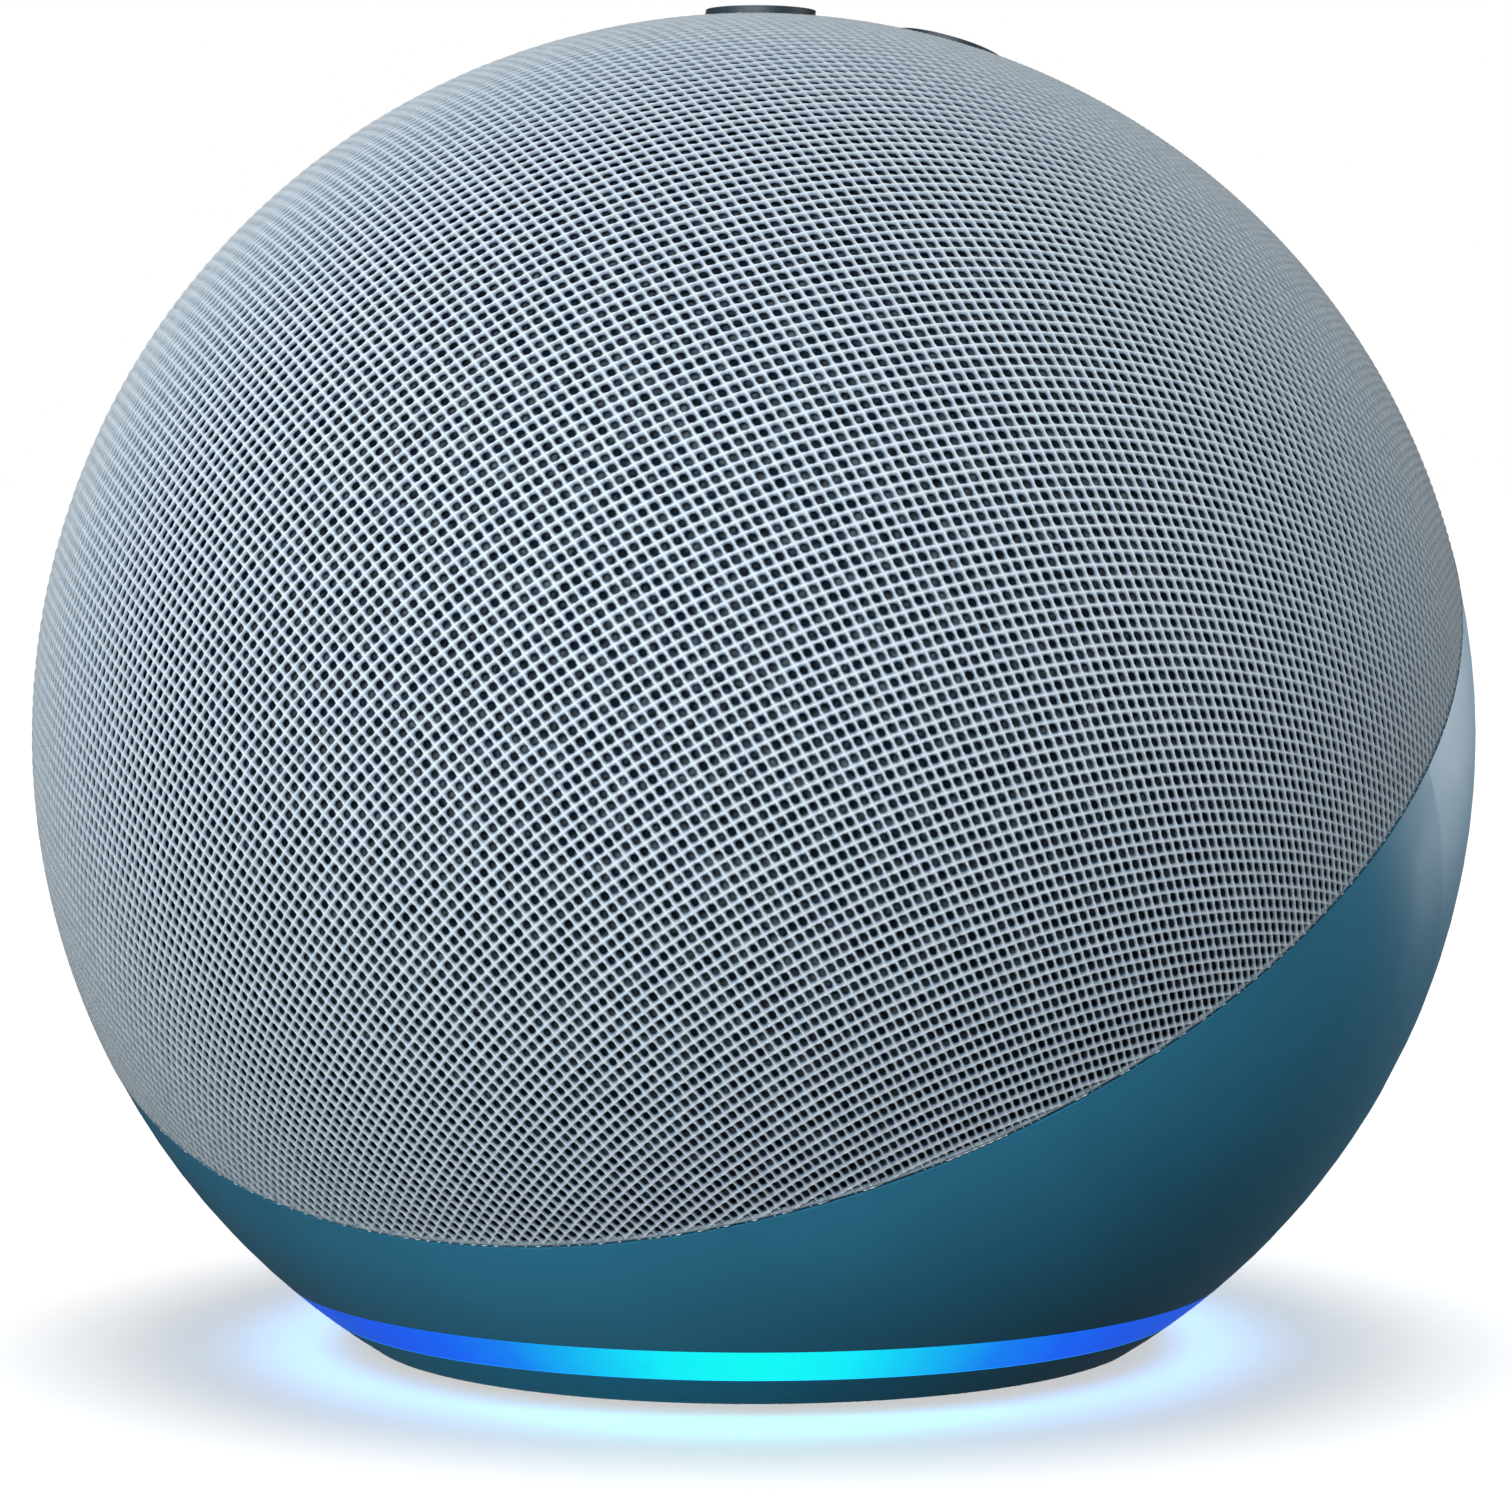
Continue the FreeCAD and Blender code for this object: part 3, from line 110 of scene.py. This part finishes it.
def look(obj, place, target):
    """Puts a camera or lamp in its place, and aims it."""
    obj.location = place
    obj.rotation_euler = (target - place).to_track_quat("-Z", "Y").to_euler()


def camera():
    """The photograph's viewpoint and framing."""
    data = bpy.data.cameras.new("camera")
    made = bpy.data.objects.new("camera", data)
    bpy.context.scene.collection.objects.link(made)
    look(made, CENTRE + direction(FACING, ELEVATION) * BALL_RADIUS * RADII_AWAY, CENTRE)
    data.sensor_width = 36
    data.lens = 119.2
    data.shift_x = 0.0012
    data.shift_y = -0.0138
    data.clip_start = 0.01
    bpy.context.scene.camera = made


def lamp(kind, name, aside, elevation, power, only=None, **shape):
    """A soft lamp a metre away, aimed at the ball, that many degrees to the camera's right.

    It lights one thing only, or all but the floor.
    """
    data = bpy.data.lights.new(name, kind)
    data.energy = power
    for key, value in shape.items():
        setattr(data, key, value)
    made = bpy.data.objects.new(name, data)
    bpy.context.scene.collection.objects.link(made)
    look(made, CENTRE + direction(FACING + aside, elevation), CENTRE)
    lit = bpy.data.collections.new(name + "_lights")
    made.light_linking.receiver_collection = lit
    lit.objects.link(bpy.data.objects[only or "floor"])
    lit.collection_objects[0].light_linking.link_state = "INCLUDE" if only else "EXCLUDE"


def studio():
    """A room that looks white but lights little, with soft lamps in front, at the sides and behind.

    One of them lights only the lower shell, and two more light only the floor.
    """
    scene = bpy.context.scene
    scene.view_settings.view_transform = "Standard"
    world = bpy.data.worlds.new("studio")
    scene.world = world
    world.use_nodes = True
    tree = world.node_tree
    path = tree.nodes.new("ShaderNodeLightPath")
    shader = tree.nodes["Background"].outputs["Background"]
    tree.nodes["Background"].inputs["Strength"].default_value = ROOM_LIGHT
    for ray, strength in (("Is Glossy Ray", ROOM_GLOSS), ("Is Camera Ray", 1.0)):
        seen = tree.nodes.new("ShaderNodeBackground")
        seen.inputs["Color"].default_value = (1, 1, 1, 1)
        seen.inputs["Strength"].default_value = strength
        mix = tree.nodes.new("ShaderNodeMixShader")
        tree.links.new(path.outputs[ray], mix.inputs["Fac"])
        tree.links.new(shader, mix.inputs[1])
        tree.links.new(seen.outputs["Background"], mix.inputs[2])
        shader = mix.outputs["Shader"]
    tree.links.new(shader, tree.nodes["World Output"].inputs["Surface"])
    disk = {"shape": "DISK", "size": 0.6}
    lamp("AREA", "key", 0, 30, 4.5, **disk)
    lamp("AREA", "low_left", -30, 0, 4.6, **disk)
    lamp("AREA", "high_left", -30, 30, 3.4, **disk)
    lamp("AREA", "far_left", -60, 0, 0.8, **disk)
    lamp("AREA", "right_rim", 90, 10, 1.6, **disk)
    lamp("AREA", "back", 180, 15, 4.0, **disk)
    lamp("AREA", "shell_rim", 129.1, 5, 4.0, only="lower_shell", **disk)
    lamp("SUN", "over_floor", 0, 90, 2.05, only="floor", angle=math.radians(36))
    lamp("SUN", "floor_fill", 0, 80, 2.1, only="floor", use_shadow=False)


def floor():
    """A plain white floor. It doesn't light the object or show in its gloss."""
    half = 8.0
    corners = [(-half, -half, 0), (half, -half, 0), (half, half, 0), (-half, half, 0)]
    made = add_mesh("floor", corners, [(0, 1, 2, 3)], plain_paper())
    made.visible_diffuse = False
    made.visible_glossy = False


# Materials.


class Nodes:
    """A short way to write a material's nodes."""

    def __init__(self, name):
        self.material = bpy.data.materials.new(name)
        self.material.use_nodes = True
        self.tree = self.material.node_tree
        self.shader = self.tree.nodes["Principled BSDF"]
        self.place = self.new("ShaderNodeTexCoord").outputs["Object"]

    def new(self, kind, **values):
        made = self.tree.nodes.new(kind)
        for key, value in values.items():
            setattr(made, key, value)
        return made

    def link(self, source, node, socket):
        self.tree.links.new(source, node.inputs[socket])

    def noise(self, scale, detail, stretch=None):
        made = self.new("ShaderNodeTexNoise")
        made.inputs["Scale"].default_value = scale
        made.inputs["Detail"].default_value = detail
        vector = self.place
        if stretch:
            mapping = self.new("ShaderNodeMapping")
            mapping.inputs["Scale"].default_value = stretch
            self.link(vector, mapping, "Vector")
            vector = mapping.outputs["Vector"]
        self.link(vector, made, "Vector")
        return made.outputs["Fac"]

    def ramp(self, value, *stops):
        made = self.new("ShaderNodeValToRGB")
        points = made.color_ramp.elements
        while len(points) < len(stops):
            points.new(0.5)
        for point, (place, colour) in zip(points, stops):
            point.position = place
            point.color = (*colour, 1)
        self.link(value, made, "Fac")
        return made.outputs["Color"]

    def span(self, value, low, high, start=0.0, end=1.0):
        """value rescaled from start..end to low..high."""
        made = self.new("ShaderNodeMapRange")
        made.inputs["From Min"].default_value = start
        made.inputs["From Max"].default_value = end
        made.inputs["To Min"].default_value = low
        made.inputs["To Max"].default_value = high
        self.link(value, made, "Value")
        return made.outputs["Result"]

    def maths(self, operation, a, b):
        made = self.new("ShaderNodeMath", operation=operation)
        for socket, value in enumerate((a, b)):
            if isinstance(value, (int, float)):
                made.inputs[socket].default_value = value
            else:
                self.link(value, made, socket)
        return made.outputs["Value"]

    def bump(self, height, distance):
        made = self.new("ShaderNodeBump")
        made.inputs["Distance"].default_value = distance
        self.link(height, made, "Height")
        self.link(made.outputs["Normal"], self.shader, "Normal")


def shades(colour, spread):
    """A darker and a lighter version of a colour."""
    return [tuple(min(1, c * k) for c in colour) for k in (1 - spread, 1 + spread)]


def moulded(name, colour, roughness, gloss=0.5):
    """Moulded plastic: a fine spark-eroded grain, slight clouding, and uneven gloss."""
    grain, grain_size = 0.012 * MM, 0.35 * MM
    n = Nodes(name)
    low, high = shades(colour, 0.06)
    n.link(n.ramp(n.noise(60, 4), (0.3, low), (0.7, high)), n.shader, "Base Color")
    n.link(n.span(n.noise(240, 2), roughness - 0.05, roughness + 0.05), n.shader, "Roughness")
    n.shader.inputs["Specular IOR Level"].default_value = gloss
    n.bump(n.noise(1 / grain_size, 2), grain)
    return n.material


def metal(name, colour, roughness, stretch=(1, 1, 1)):
    """Bare metal with fine marks, drawn out along one way if it was brushed, turned or wound."""
    n = Nodes(name)
    n.shader.inputs["Metallic"].default_value = 1.0
    low, high = shades(colour, 0.08)
    n.link(n.ramp(n.noise(300, 4, stretch=stretch), (0.3, low), (0.7, high)), n.shader, "Base Color")
    marks = n.noise(900, 3, stretch=stretch)
    n.link(n.span(marks, roughness - 0.08, roughness + 0.12), n.shader, "Roughness")
    n.bump(n.noise(2500, 2, stretch=stretch), 0.01 * MM)
    return n.material


def rubber(name, colour):
    """Dull rubber with a dusty mottle."""
    n = Nodes(name)
    low, high = shades(colour, 0.15)
    n.link(n.ramp(n.noise(400, 5), (0.3, low), (0.7, high)), n.shader, "Base Color")
    n.shader.inputs["Roughness"].default_value = 0.75
    n.bump(n.noise(3000, 3), 0.03 * MM)
    return n.material


def cloth(name, colour, scale):
    """A fine woven or fibrous surface."""
    n = Nodes(name)
    low, high = shades(colour, 0.3)
    n.link(n.ramp(n.noise(scale, 5), (0.3, low), (0.7, high)), n.shader, "Base Color")
    n.shader.inputs["Roughness"].default_value = 0.9
    n.shader.inputs["Sheen Weight"].default_value = 0.3
    n.bump(n.noise(scale * 2, 3), 0.06 * MM)
    return n.material


def circuit_board(name):
    """Green solder mask with paler copper tracks showing through."""
    n = Nodes(name)
    bricks = n.new("ShaderNodeTexBrick")
    bricks.inputs["Scale"].default_value = 160
    bricks.inputs["Mortar Size"].default_value = 0.06
    bricks.inputs["Color1"].default_value = (0.010, 0.085, 0.045, 1)
    bricks.inputs["Color2"].default_value = (0.014, 0.100, 0.052, 1)
    bricks.inputs["Mortar"].default_value = (0.035, 0.190, 0.085, 1)
    n.link(n.place, bricks, "Vector")
    n.link(bricks.outputs["Color"], n.shader, "Base Color")
    n.shader.inputs["Roughness"].default_value = 0.3
    n.bump(bricks.outputs["Fac"], 0.02 * MM)
    return n.material


def plain_paper():
    """The floor's white."""
    n = Nodes("white_floor")
    colour = n.ramp(n.noise(3, 2), (0.3, (0.93, 0.93, 0.93)), (0.7, (0.96, 0.96, 0.96)))
    n.link(colour, n.shader, "Base Color")
    n.shader.inputs["Roughness"].default_value = 0.6
    n.shader.inputs["Specular IOR Level"].default_value = 0.2
    return n.material


def yarn():
    """Knitted yarn, light blue-grey on its crest, with painted shade darkening it down its sides to near
    black at the holes' rims, with a mottle and fine fibres.
    """
    n = Nodes("yarn")
    reach = n.new("ShaderNodeVectorMath", operation="DISTANCE")
    n.link(n.place, reach, 0)
    reach.inputs[1].default_value = CENTRE
    height = n.span(reach.outputs["Value"], 0, 1, BALL_RADIUS - YARN_RISE, BALL_RADIUS)
    mottle = n.span(n.noise(900, 4), -0.12, 0.12)
    # Painted shade: the colour darkens with depth below the crest, down the yarn's sides and into the holes.
    colour = n.ramp(n.maths("ADD", height, mottle), (0.05, (0.05, 0.08, 0.13)),
                    (0.42, (0.32, 0.41, 0.50)), (0.8, (0.73, 0.83, 0.91)))
    n.link(colour, n.shader, "Base Color")
    n.shader.inputs["Roughness"].default_value = 0.8
    n.shader.inputs["Specular IOR Level"].default_value = 0.2
    n.bump(n.noise(9000, 2), 0.03 * MM)
    return n.material


def ring_glow():
    """The lit ring: cyan towards FACING, and blue elsewhere, the same from every view."""
    n = Nodes("ring_glow")
    split = n.new("ShaderNodeSeparateXYZ")
    n.link(n.place, split, "Vector")
    x, y = split.outputs["X"], split.outputs["Y"]
    facing = math.radians(FACING)

    def mixed(x_share, y_share):
        return n.maths("ADD", n.maths("MULTIPLY", x, x_share), n.maths("MULTIPLY", y, y_share))

    along = mixed(math.sin(facing), -math.cos(facing))
    across = mixed(math.cos(facing), math.sin(facing))
    angle = n.maths("ABSOLUTE", n.maths("ARCTAN2", across, along), 0)
    share = n.span(angle, 0, 1, 0, math.pi)
    colour = n.ramp(share, (0.0, (0.002, 0.95, 0.90)), (0.055, (0.002, 0.87, 0.95)),
                    (0.11, (0.002, 0.515, 0.91)), (0.165, (0.002, 0.21, 0.88)), (0.22, (0.002, 0.117, 0.88)),
                    (0.28, (0.002, 0.084, 0.78)), (0.35, (0.002, 0.080, 0.65)), (1.0, (0.002, 0.070, 0.60)))
    to_eye = n.new("ShaderNodeLightPath").outputs["Is Camera Ray"]
    glow = n.new("ShaderNodeMix")
    glow.data_type = "RGBA"
    # Of a colour mix's sockets, 0 is the factor, 6 and 7 are the two colours, and output 2 is the result.
    glow.inputs[7].default_value = GLOW_COLOUR
    n.link(n.span(to_eye, GLOW_BLEND, 0.0), glow, 0)
    n.link(colour, glow, 6)
    n.link(glow.outputs[2], n.shader, "Emission Color")
    clouding = n.noise(500, 2)
    brightness = n.maths("MULTIPLY", n.span(to_eye, RING_LIGHT, 1.0), n.span(clouding, 0.94, 1.04))
    n.link(brightness, n.shader, "Emission Strength")
    unlit = n.ramp(clouding, (0.3, (0.002, 0.010, 0.014)), (0.7, (0.003, 0.014, 0.020)))
    n.link(unlit, n.shader, "Base Color")
    n.shader.inputs["Roughness"].default_value = 0.35
    n.shader.inputs["Specular IOR Level"].default_value = 0.2
    return n.material


# Mesh helpers.


def smooth_object(name, mesh, material):
    """A new smooth-shaded object of that mesh and material."""
    mesh.materials.append(material)
    mesh.shade_smooth()
    made = bpy.data.objects.new(name, mesh)
    bpy.context.scene.collection.objects.link(made)
    return made


def add_mesh(name, vertices, faces, material):
    """A mesh from lists of points and faces."""
    mesh = bpy.data.meshes.new(name)
    mesh.from_pydata([tuple(v) for v in vertices], [], [tuple(f) for f in faces])
    return smooth_object(name, mesh, material)


def array_mesh(name, points, quads, material):
    """A mesh from arrays of points and of four-cornered faces."""
    mesh = bpy.data.meshes.new(name)
    mesh.vertices.add(len(points))
    mesh.vertices.foreach_set("co", points.astype(np.float32).ravel())
    mesh.loops.add(quads.size)
    mesh.loops.foreach_set("vertex_index", quads.astype(np.int32).ravel())
    mesh.polygons.add(len(quads))
    mesh.polygons.foreach_set("loop_start", np.arange(0, quads.size, 4, dtype=np.int32))
    mesh.update(calc_edges=True)
    mesh.validate()
    return smooth_object(name, mesh, material)


def turned(name, outline, steps, place, material):
    """A mesh turned about its Z axis from (radius, height) points, then put in its place."""
    count = len(outline)
    vertices = []
    for i in range(steps):
        angle = 2 * math.pi * i / steps
        vertices += [place @ Vector((r * math.cos(angle), r * math.sin(angle), z)) for r, z in outline]
    faces = []
    for i in range(steps):
        here, there = i * count, (i + 1) % steps * count
        for j in range(count - 1):
            faces.append((here + j, there + j, there + j + 1, here + j + 1))
    return add_mesh(name, vertices, faces, material)


# The knit.

# Stitches per radian across and along the dome, counted on a map that keeps distances from the dome's axis.
STITCHES_ACROSS = 37.5
STITCHES_ALONG = 43.7
# A hole's width as a share of a stitch, and how far it reaches into the stitch's corners.
HOLE_SHARE = 0.63
CORNER_SHARE = 0.77
# How far a knot stands above the holes' rims, and above the rest of the yarn's crest.
YARN_RISE = 0.36 * MM
KNOT_RISE = 0.09 * MM
# Standard deviations: of where stitches and holes lie, in radians, and of a hole's size, as a share.
STRAY = 0.02 * MM / BALL_RADIUS
UNEVEN = 0.04
# How far the lining lies inside the ball's surface.
LINING_DEPTH = 0.72 * MM
# Where the knit ends, at the seam and round a button.
KNIT_EDGE = SEAM_OFFSET + SEAM_GAP / 2
KNIT_OPENING = BUTTON_OPENING + 0.1 * MM


def on_dome(mapped, radius):
    """Points on the dome from their places on the distance-keeping map, in radians."""
    polar = np.hypot(mapped[:, 0], mapped[:, 1])
    never_zero = np.maximum(polar, 1e-9)
    x = mapped[:, 0] / never_zero * np.sin(polar)
    y = mapped[:, 1] / never_zero * np.sin(polar)
    return np.stack([x * radius, y * radius, np.cos(polar) * radius], axis=1)


def moved(points, matrix):
    """An array of points, moved by a 4 x 4 matrix."""
    m = np.array(matrix)
    return points @ m[:3, :3].T + m[:3, 3]


def part_for_buttons(points):
    """Pushes points out of the round openings for the buttons. Returns them, and which were pushed."""
    points = moved(points, TOP.inverted())
    pushed = np.zeros(len(points), bool)
    for i in range(4):
        middle = np.array([math.cos(i * math.pi / 2), math.sin(i * math.pi / 2)]) * BUTTON_CIRCLE
        offset = points[:, :2] - middle
        reach = np.hypot(offset[:, 0], offset[:, 1])
        inside = (reach < KNIT_OPENING) & (points[:, 2] > 0)
        scale = KNIT_OPENING / np.maximum(reach[inside], 1e-9)
        points[inside, :2] = middle + offset[inside] * scale[:, None]
        pushed |= inside
    return moved(points, TOP), pushed


def knit_cover():
    """The open knit: one diamond of yarn round every hole, in rows that lie straight on the dome's map."""
    edge_angle = math.acos(KNIT_EDGE / BALL_RADIUS)
    reach = int(edge_angle * math.hypot(STITCHES_ACROSS, STITCHES_ALONG)) + 3
    span = np.arange(-reach, reach + 1)
    i, j = [v.ravel() for v in np.meshgrid(span, span, indexing="ij")]
    centre = np.stack([(i + j) / (2 * STITCHES_ACROSS), (i - j) / (2 * STITCHES_ALONG)], axis=1)
    near = np.hypot(centre[:, 0], centre[:, 1]) < edge_angle + 1.2 / STITCHES_ALONG
    i, j, centre = i[near], j[near], centre[near]
    count = len(i)

    # The yarn's crest runs through points on a grid of half stitches; neighbours share them.
    round_cell = [(1, 1), (0, 1), (-1, 1), (-1, 0), (-1, -1), (0, -1), (1, -1), (1, 0)]
    shift = 2 * reach + 4
    side = 4 * reach + 9
    keys = np.stack([(2 * i + u + shift) * side + 2 * j + v + shift for u, v in round_cell], axis=1)
    crest_keys, crest = np.unique(keys, return_inverse=True)
    crest = crest.reshape(keys.shape)
    half_i = crest_keys // side - shift
    half_j = crest_keys % side - shift
    crest_x = (half_i + half_j) / (4 * STITCHES_ACROSS)
    crest_y = (half_i - half_j) / (4 * STITCHES_ALONG)
    crest_map = np.stack([crest_x, crest_y], axis=1)
    knots = (half_i % 2 != 0) & (half_j % 2 != 0)
    crest_radius = np.where(knots, BALL_RADIUS, BALL_RADIUS - KNOT_RISE)
    crest_map += rng.normal(0, STRAY, crest_map.shape)
    crest_points = on_dome(crest_map, 1.0) * crest_radius[:, None]

    # The holes: a diamond with round corners inside each cell, a little uneven.
    size = rng.normal(1.0, UNEVEN, (count, 1, 1))
    drift = rng.normal(0, STRAY, (count, 1, 2))
    rims = []
    for u, v in round_cell:
        share = HOLE_SHARE * (CORNER_SHARE if u and v else 1)
        rims.append(share * np.array([(u + v) / (4 * STITCHES_ACROSS), (u - v) / (4 * STITCHES_ALONG)]))
    rim_map = centre[:, None, :] + np.array(rims)[None] * size + drift
    rim_points = on_dome(rim_map.reshape(-1, 2), BALL_RADIUS - YARN_RISE)

    points = np.concatenate([crest_points, rim_points])
    rim = len(crest_points) + np.arange(count * 8).reshape(count, 8)
    quads = []
    for k in range(8):
        n = (k + 1) % 8
        quads.append(np.stack([crest[:, k], crest[:, n], rim[:, n], rim[:, k]], axis=1))
    quads = np.concatenate(quads)

    # Points past the edge or in a button's opening are moved to its border.
    # Faces whose points were all moved are left out.
    low = points[:, 2] < KNIT_EDGE
    flat = np.hypot(points[:, 0], points[:, 1])
    level = np.sqrt(np.maximum((points**2).sum(1) - KNIT_EDGE**2, 0))
    points[low, :2] *= (level[low] / flat[low])[:, None]
    points[low, 2] = KNIT_EDGE
    points = moved(points, DOME)
    points, pushed = part_for_buttons(points)
    gone = low[quads].all(1) | pushed[quads].all(1)
    quads = quads[~gone]
    used, quads_flat = np.unique(quads, return_inverse=True)
    made = array_mesh("knit_cover", points[used], quads_flat.reshape(quads.shape), yarn())
    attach(made, "case")
    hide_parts("fabric_cover")


def lining():
    """The dark cloth that lies under the open knit."""
    radius = BALL_RADIUS - LINING_DEPTH
    edge = math.acos(KNIT_EDGE / radius)
    rows = 60
    outline = [(radius * math.sin(edge * i / rows), radius * math.cos(edge * i / rows))
               for i in range(rows, 0, -1)]
    made = turned("knit_lining", outline + [(0.05 * MM, radius)], 240, DOME, lining_cloth())
    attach(made, "case")


def lining_cloth():
    """Dark navy cloth, paler in spots no bigger than a stitch."""
    n = Nodes("lining_cloth")
    spots = n.ramp(n.noise(900, 1), (0.42, (0.006, 0.012, 0.018)), (0.60, (0.05, 0.066, 0.08)),
                   (0.75, (0.11, 0.14, 0.16)))
    n.link(spots, n.shader, "Base Color")
    n.shader.inputs["Roughness"].default_value = 0.95
    n.shader.inputs["Specular IOR Level"].default_value = 0.1
    n.bump(n.noise(5000, 3), 0.05 * MM)
    return n.material


def hems():
    """The folded edge of the knit along the seam, and round each button's opening."""
    # The fold along the seam, in millimetres inward from the ball and upward from the edge.
    fold = [(0.42, 0.42), (0.16, 0.34), (0.06, 0.24), (0.04, 0.14),
            (0.10, 0.05), (0.28, 0), (1.2, 0), (2.4, 0)]
    outline = [(BALL_RADIUS - inward * MM, KNIT_EDGE + upward * MM) for inward, upward in fold]
    made = turned("seam_hem", outline, 360, DOME, yarn_hem())
    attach(made, "case")
    hem_radius, sunk = 0.22 * MM, 0.24 * MM
    rings, steps = 8, 72
    for i in range(4):
        middle = Vector((math.cos(i * math.pi / 2), math.sin(i * math.pi / 2), 0)) * BUTTON_CIRCLE
        vertices, faces = [], []
        for s in range(steps):
            turn = 2 * math.pi * s / steps
            out = Vector((math.cos(turn), math.sin(turn), 0))
            for k in range(rings):
                a = 2 * math.pi * k / rings
                flat = middle + out * (BUTTON_OPENING + 0.12 * MM + hem_radius * math.cos(a))
                height = math.sqrt(BALL_RADIUS**2 - flat.length_squared) - sunk
                vertices.append(TOP @ (flat + Vector((0, 0, height + hem_radius * math.sin(a)))))
                here, there = s * rings, (s + 1) % steps * rings
                faces.append((here + k, there + k, there + (k + 1) % rings, here + (k + 1) % rings))
        made = add_mesh(f"opening_hem_{i}", vertices, faces, yarn_hem())
        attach(made, "case")


def yarn_hem():
    """The same yarn where it is folded and pressed flat."""
    if "yarn_hem" in bpy.data.materials:
        return bpy.data.materials["yarn_hem"]
    n = Nodes("yarn_hem")
    colour = n.ramp(n.noise(1400, 4), (0.3, (0.10, 0.15, 0.19)), (0.7, (0.26, 0.34, 0.40)))
    n.link(colour, n.shader, "Base Color")
    n.shader.inputs["Roughness"].default_value = 0.85
    n.bump(n.noise(2600, 3), 0.08 * MM)
    return n.material


# The woofer's flexing parts.

# The height of the baffle's front face above the ball's centre, along the dome's axis.
BAFFLE_FRONT = 7.95 * MM
# The rest are in millimetres, from that axis and above that face.
# The surround's roll: its middle circle, its own radius and its foot.
# Then the outer rim's height above the foot, and its radius.
ROLL_CIRCLE, ROLL_RADIUS, ROLL_FOOT = 33.3, 2.1, 2.3
ROLL_RIM, ROLL_EDGE = 0.6, 36.2
# The spider's inner and outer radius, its height at each, how many steps its pleats take, and their rise.
SPIDER_INNER, SPIDER_OUTER = 13.0, 23.8
SPIDER_LOW, SPIDER_HIGH = -14.2, -12.9
PLEATS, PLEAT_RISE = 16, 0.2


def flexing(name, outline, node, finish):
    """A turned piece between the cone and the case.
    """
    outline = [(r * MM, BAFFLE_FRONT + z * MM) for r, z in outline]
    made = turned(name, outline, 160, DOME, bpy.data.materials[finish])
    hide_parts(node)
    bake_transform(made)
    return made


def surround():
    """The half roll round the cone, in two pieces that meet on its crest."""
    steps = 10
    turns = [math.pi / 2 * k / steps for k in range(steps + 1)]
    rise = [(ROLL_RADIUS * math.cos(turn), ROLL_FOOT + ROLL_RADIUS * math.sin(turn)) for turn in turns]
    flexing("surround_inner", [(ROLL_CIRCLE - r, z) for r, z in rise], "woofer_surround", "soft_rubber")
    rim = ROLL_FOOT + ROLL_RIM
    outer = [(ROLL_EDGE, rim)] + [(ROLL_CIRCLE + r, z) for r, z in rise if z >= rim]
    flexing("surround_outer", outer, "woofer_surround", "soft_rubber")


def spider():
    """The pleated ring that centres the cone's neck, cupped."""
    outline = []
    for k in range(PLEATS + 1):
        share = k / PLEATS
        fold = PLEAT_RISE * (k % 2)
        outline.append((SPIDER_INNER + (SPIDER_OUTER - SPIDER_INNER) * share,
                        SPIDER_LOW + (SPIDER_HIGH - SPIDER_LOW) * share + fold))
    made = flexing("spider", outline, "woofer_spider", "spider_cloth")


# Finishes of the CAD nodes.


def finish_nodes():
    """Gives every CAD node the finish that its material slot names."""
    finishes = {
        "shell_plastic": moulded("shell_plastic", (0.042, 0.265, 0.44), 0.42, gloss=0.18),
        # Painted light: the base's teal is paler than the shell's same teal, standing in for light the floor
        # doesn't throw up under the ball.
        "base_plastic": moulded("base_plastic", (0.024, 0.38, 0.66), 0.42, gloss=0.2),
        "diffuser": ring_glow(),
        "button_plastic": moulded("button_plastic", (0.026, 0.046, 0.064), 0.45),
        "black_plastic": moulded("black_plastic", (0.018, 0.018, 0.021), 0.5),
        "foot_rubber": rubber("foot_rubber", (0.022, 0.030, 0.036)),
        "soft_rubber": rubber("soft_rubber", (0.03, 0.03, 0.032)),
        "brass": metal("brass", (0.72, 0.52, 0.22), 0.28, (1, 1, 8)),
        "steel": metal("steel", (0.55, 0.56, 0.58), 0.32),
        "magnet": moulded("ferrite", (0.035, 0.035, 0.04), 0.6),
        "aluminium": metal("aluminium", (0.72, 0.73, 0.75), 0.35, (1, 12, 1)),
        "board": circuit_board("board"),
        "cone_paper": cloth("cone_paper", (0.03, 0.03, 0.033), 900),
        "dome_silk": cloth("dome_silk", (0.04, 0.04, 0.045), 2500),
        "copper": metal("copper", (0.80, 0.38, 0.20), 0.3, (1, 1, 40)),
        "phosphor": moulded("phosphor", (0.80, 0.74, 0.45), 0.4),
        "ribbon": moulded("ribbon_film", (0.52, 0.25, 0.05), 0.3),
        "spider_cloth": cloth("spider_cloth", (0.42, 0.30, 0.13), 1400),
        "knit": yarn_hem(),
    }
    slots = {part["node"]: part["material_slot"] for part in frame["record"]["subparts"]}
    for name, obj in nodes.items():
        obj.data.materials.clear()
        obj.data.materials.append(finishes[slots[name]])


camera()
floor()
studio()
finish_nodes()
knit_cover()
lining()
hems()
surround()
spider()
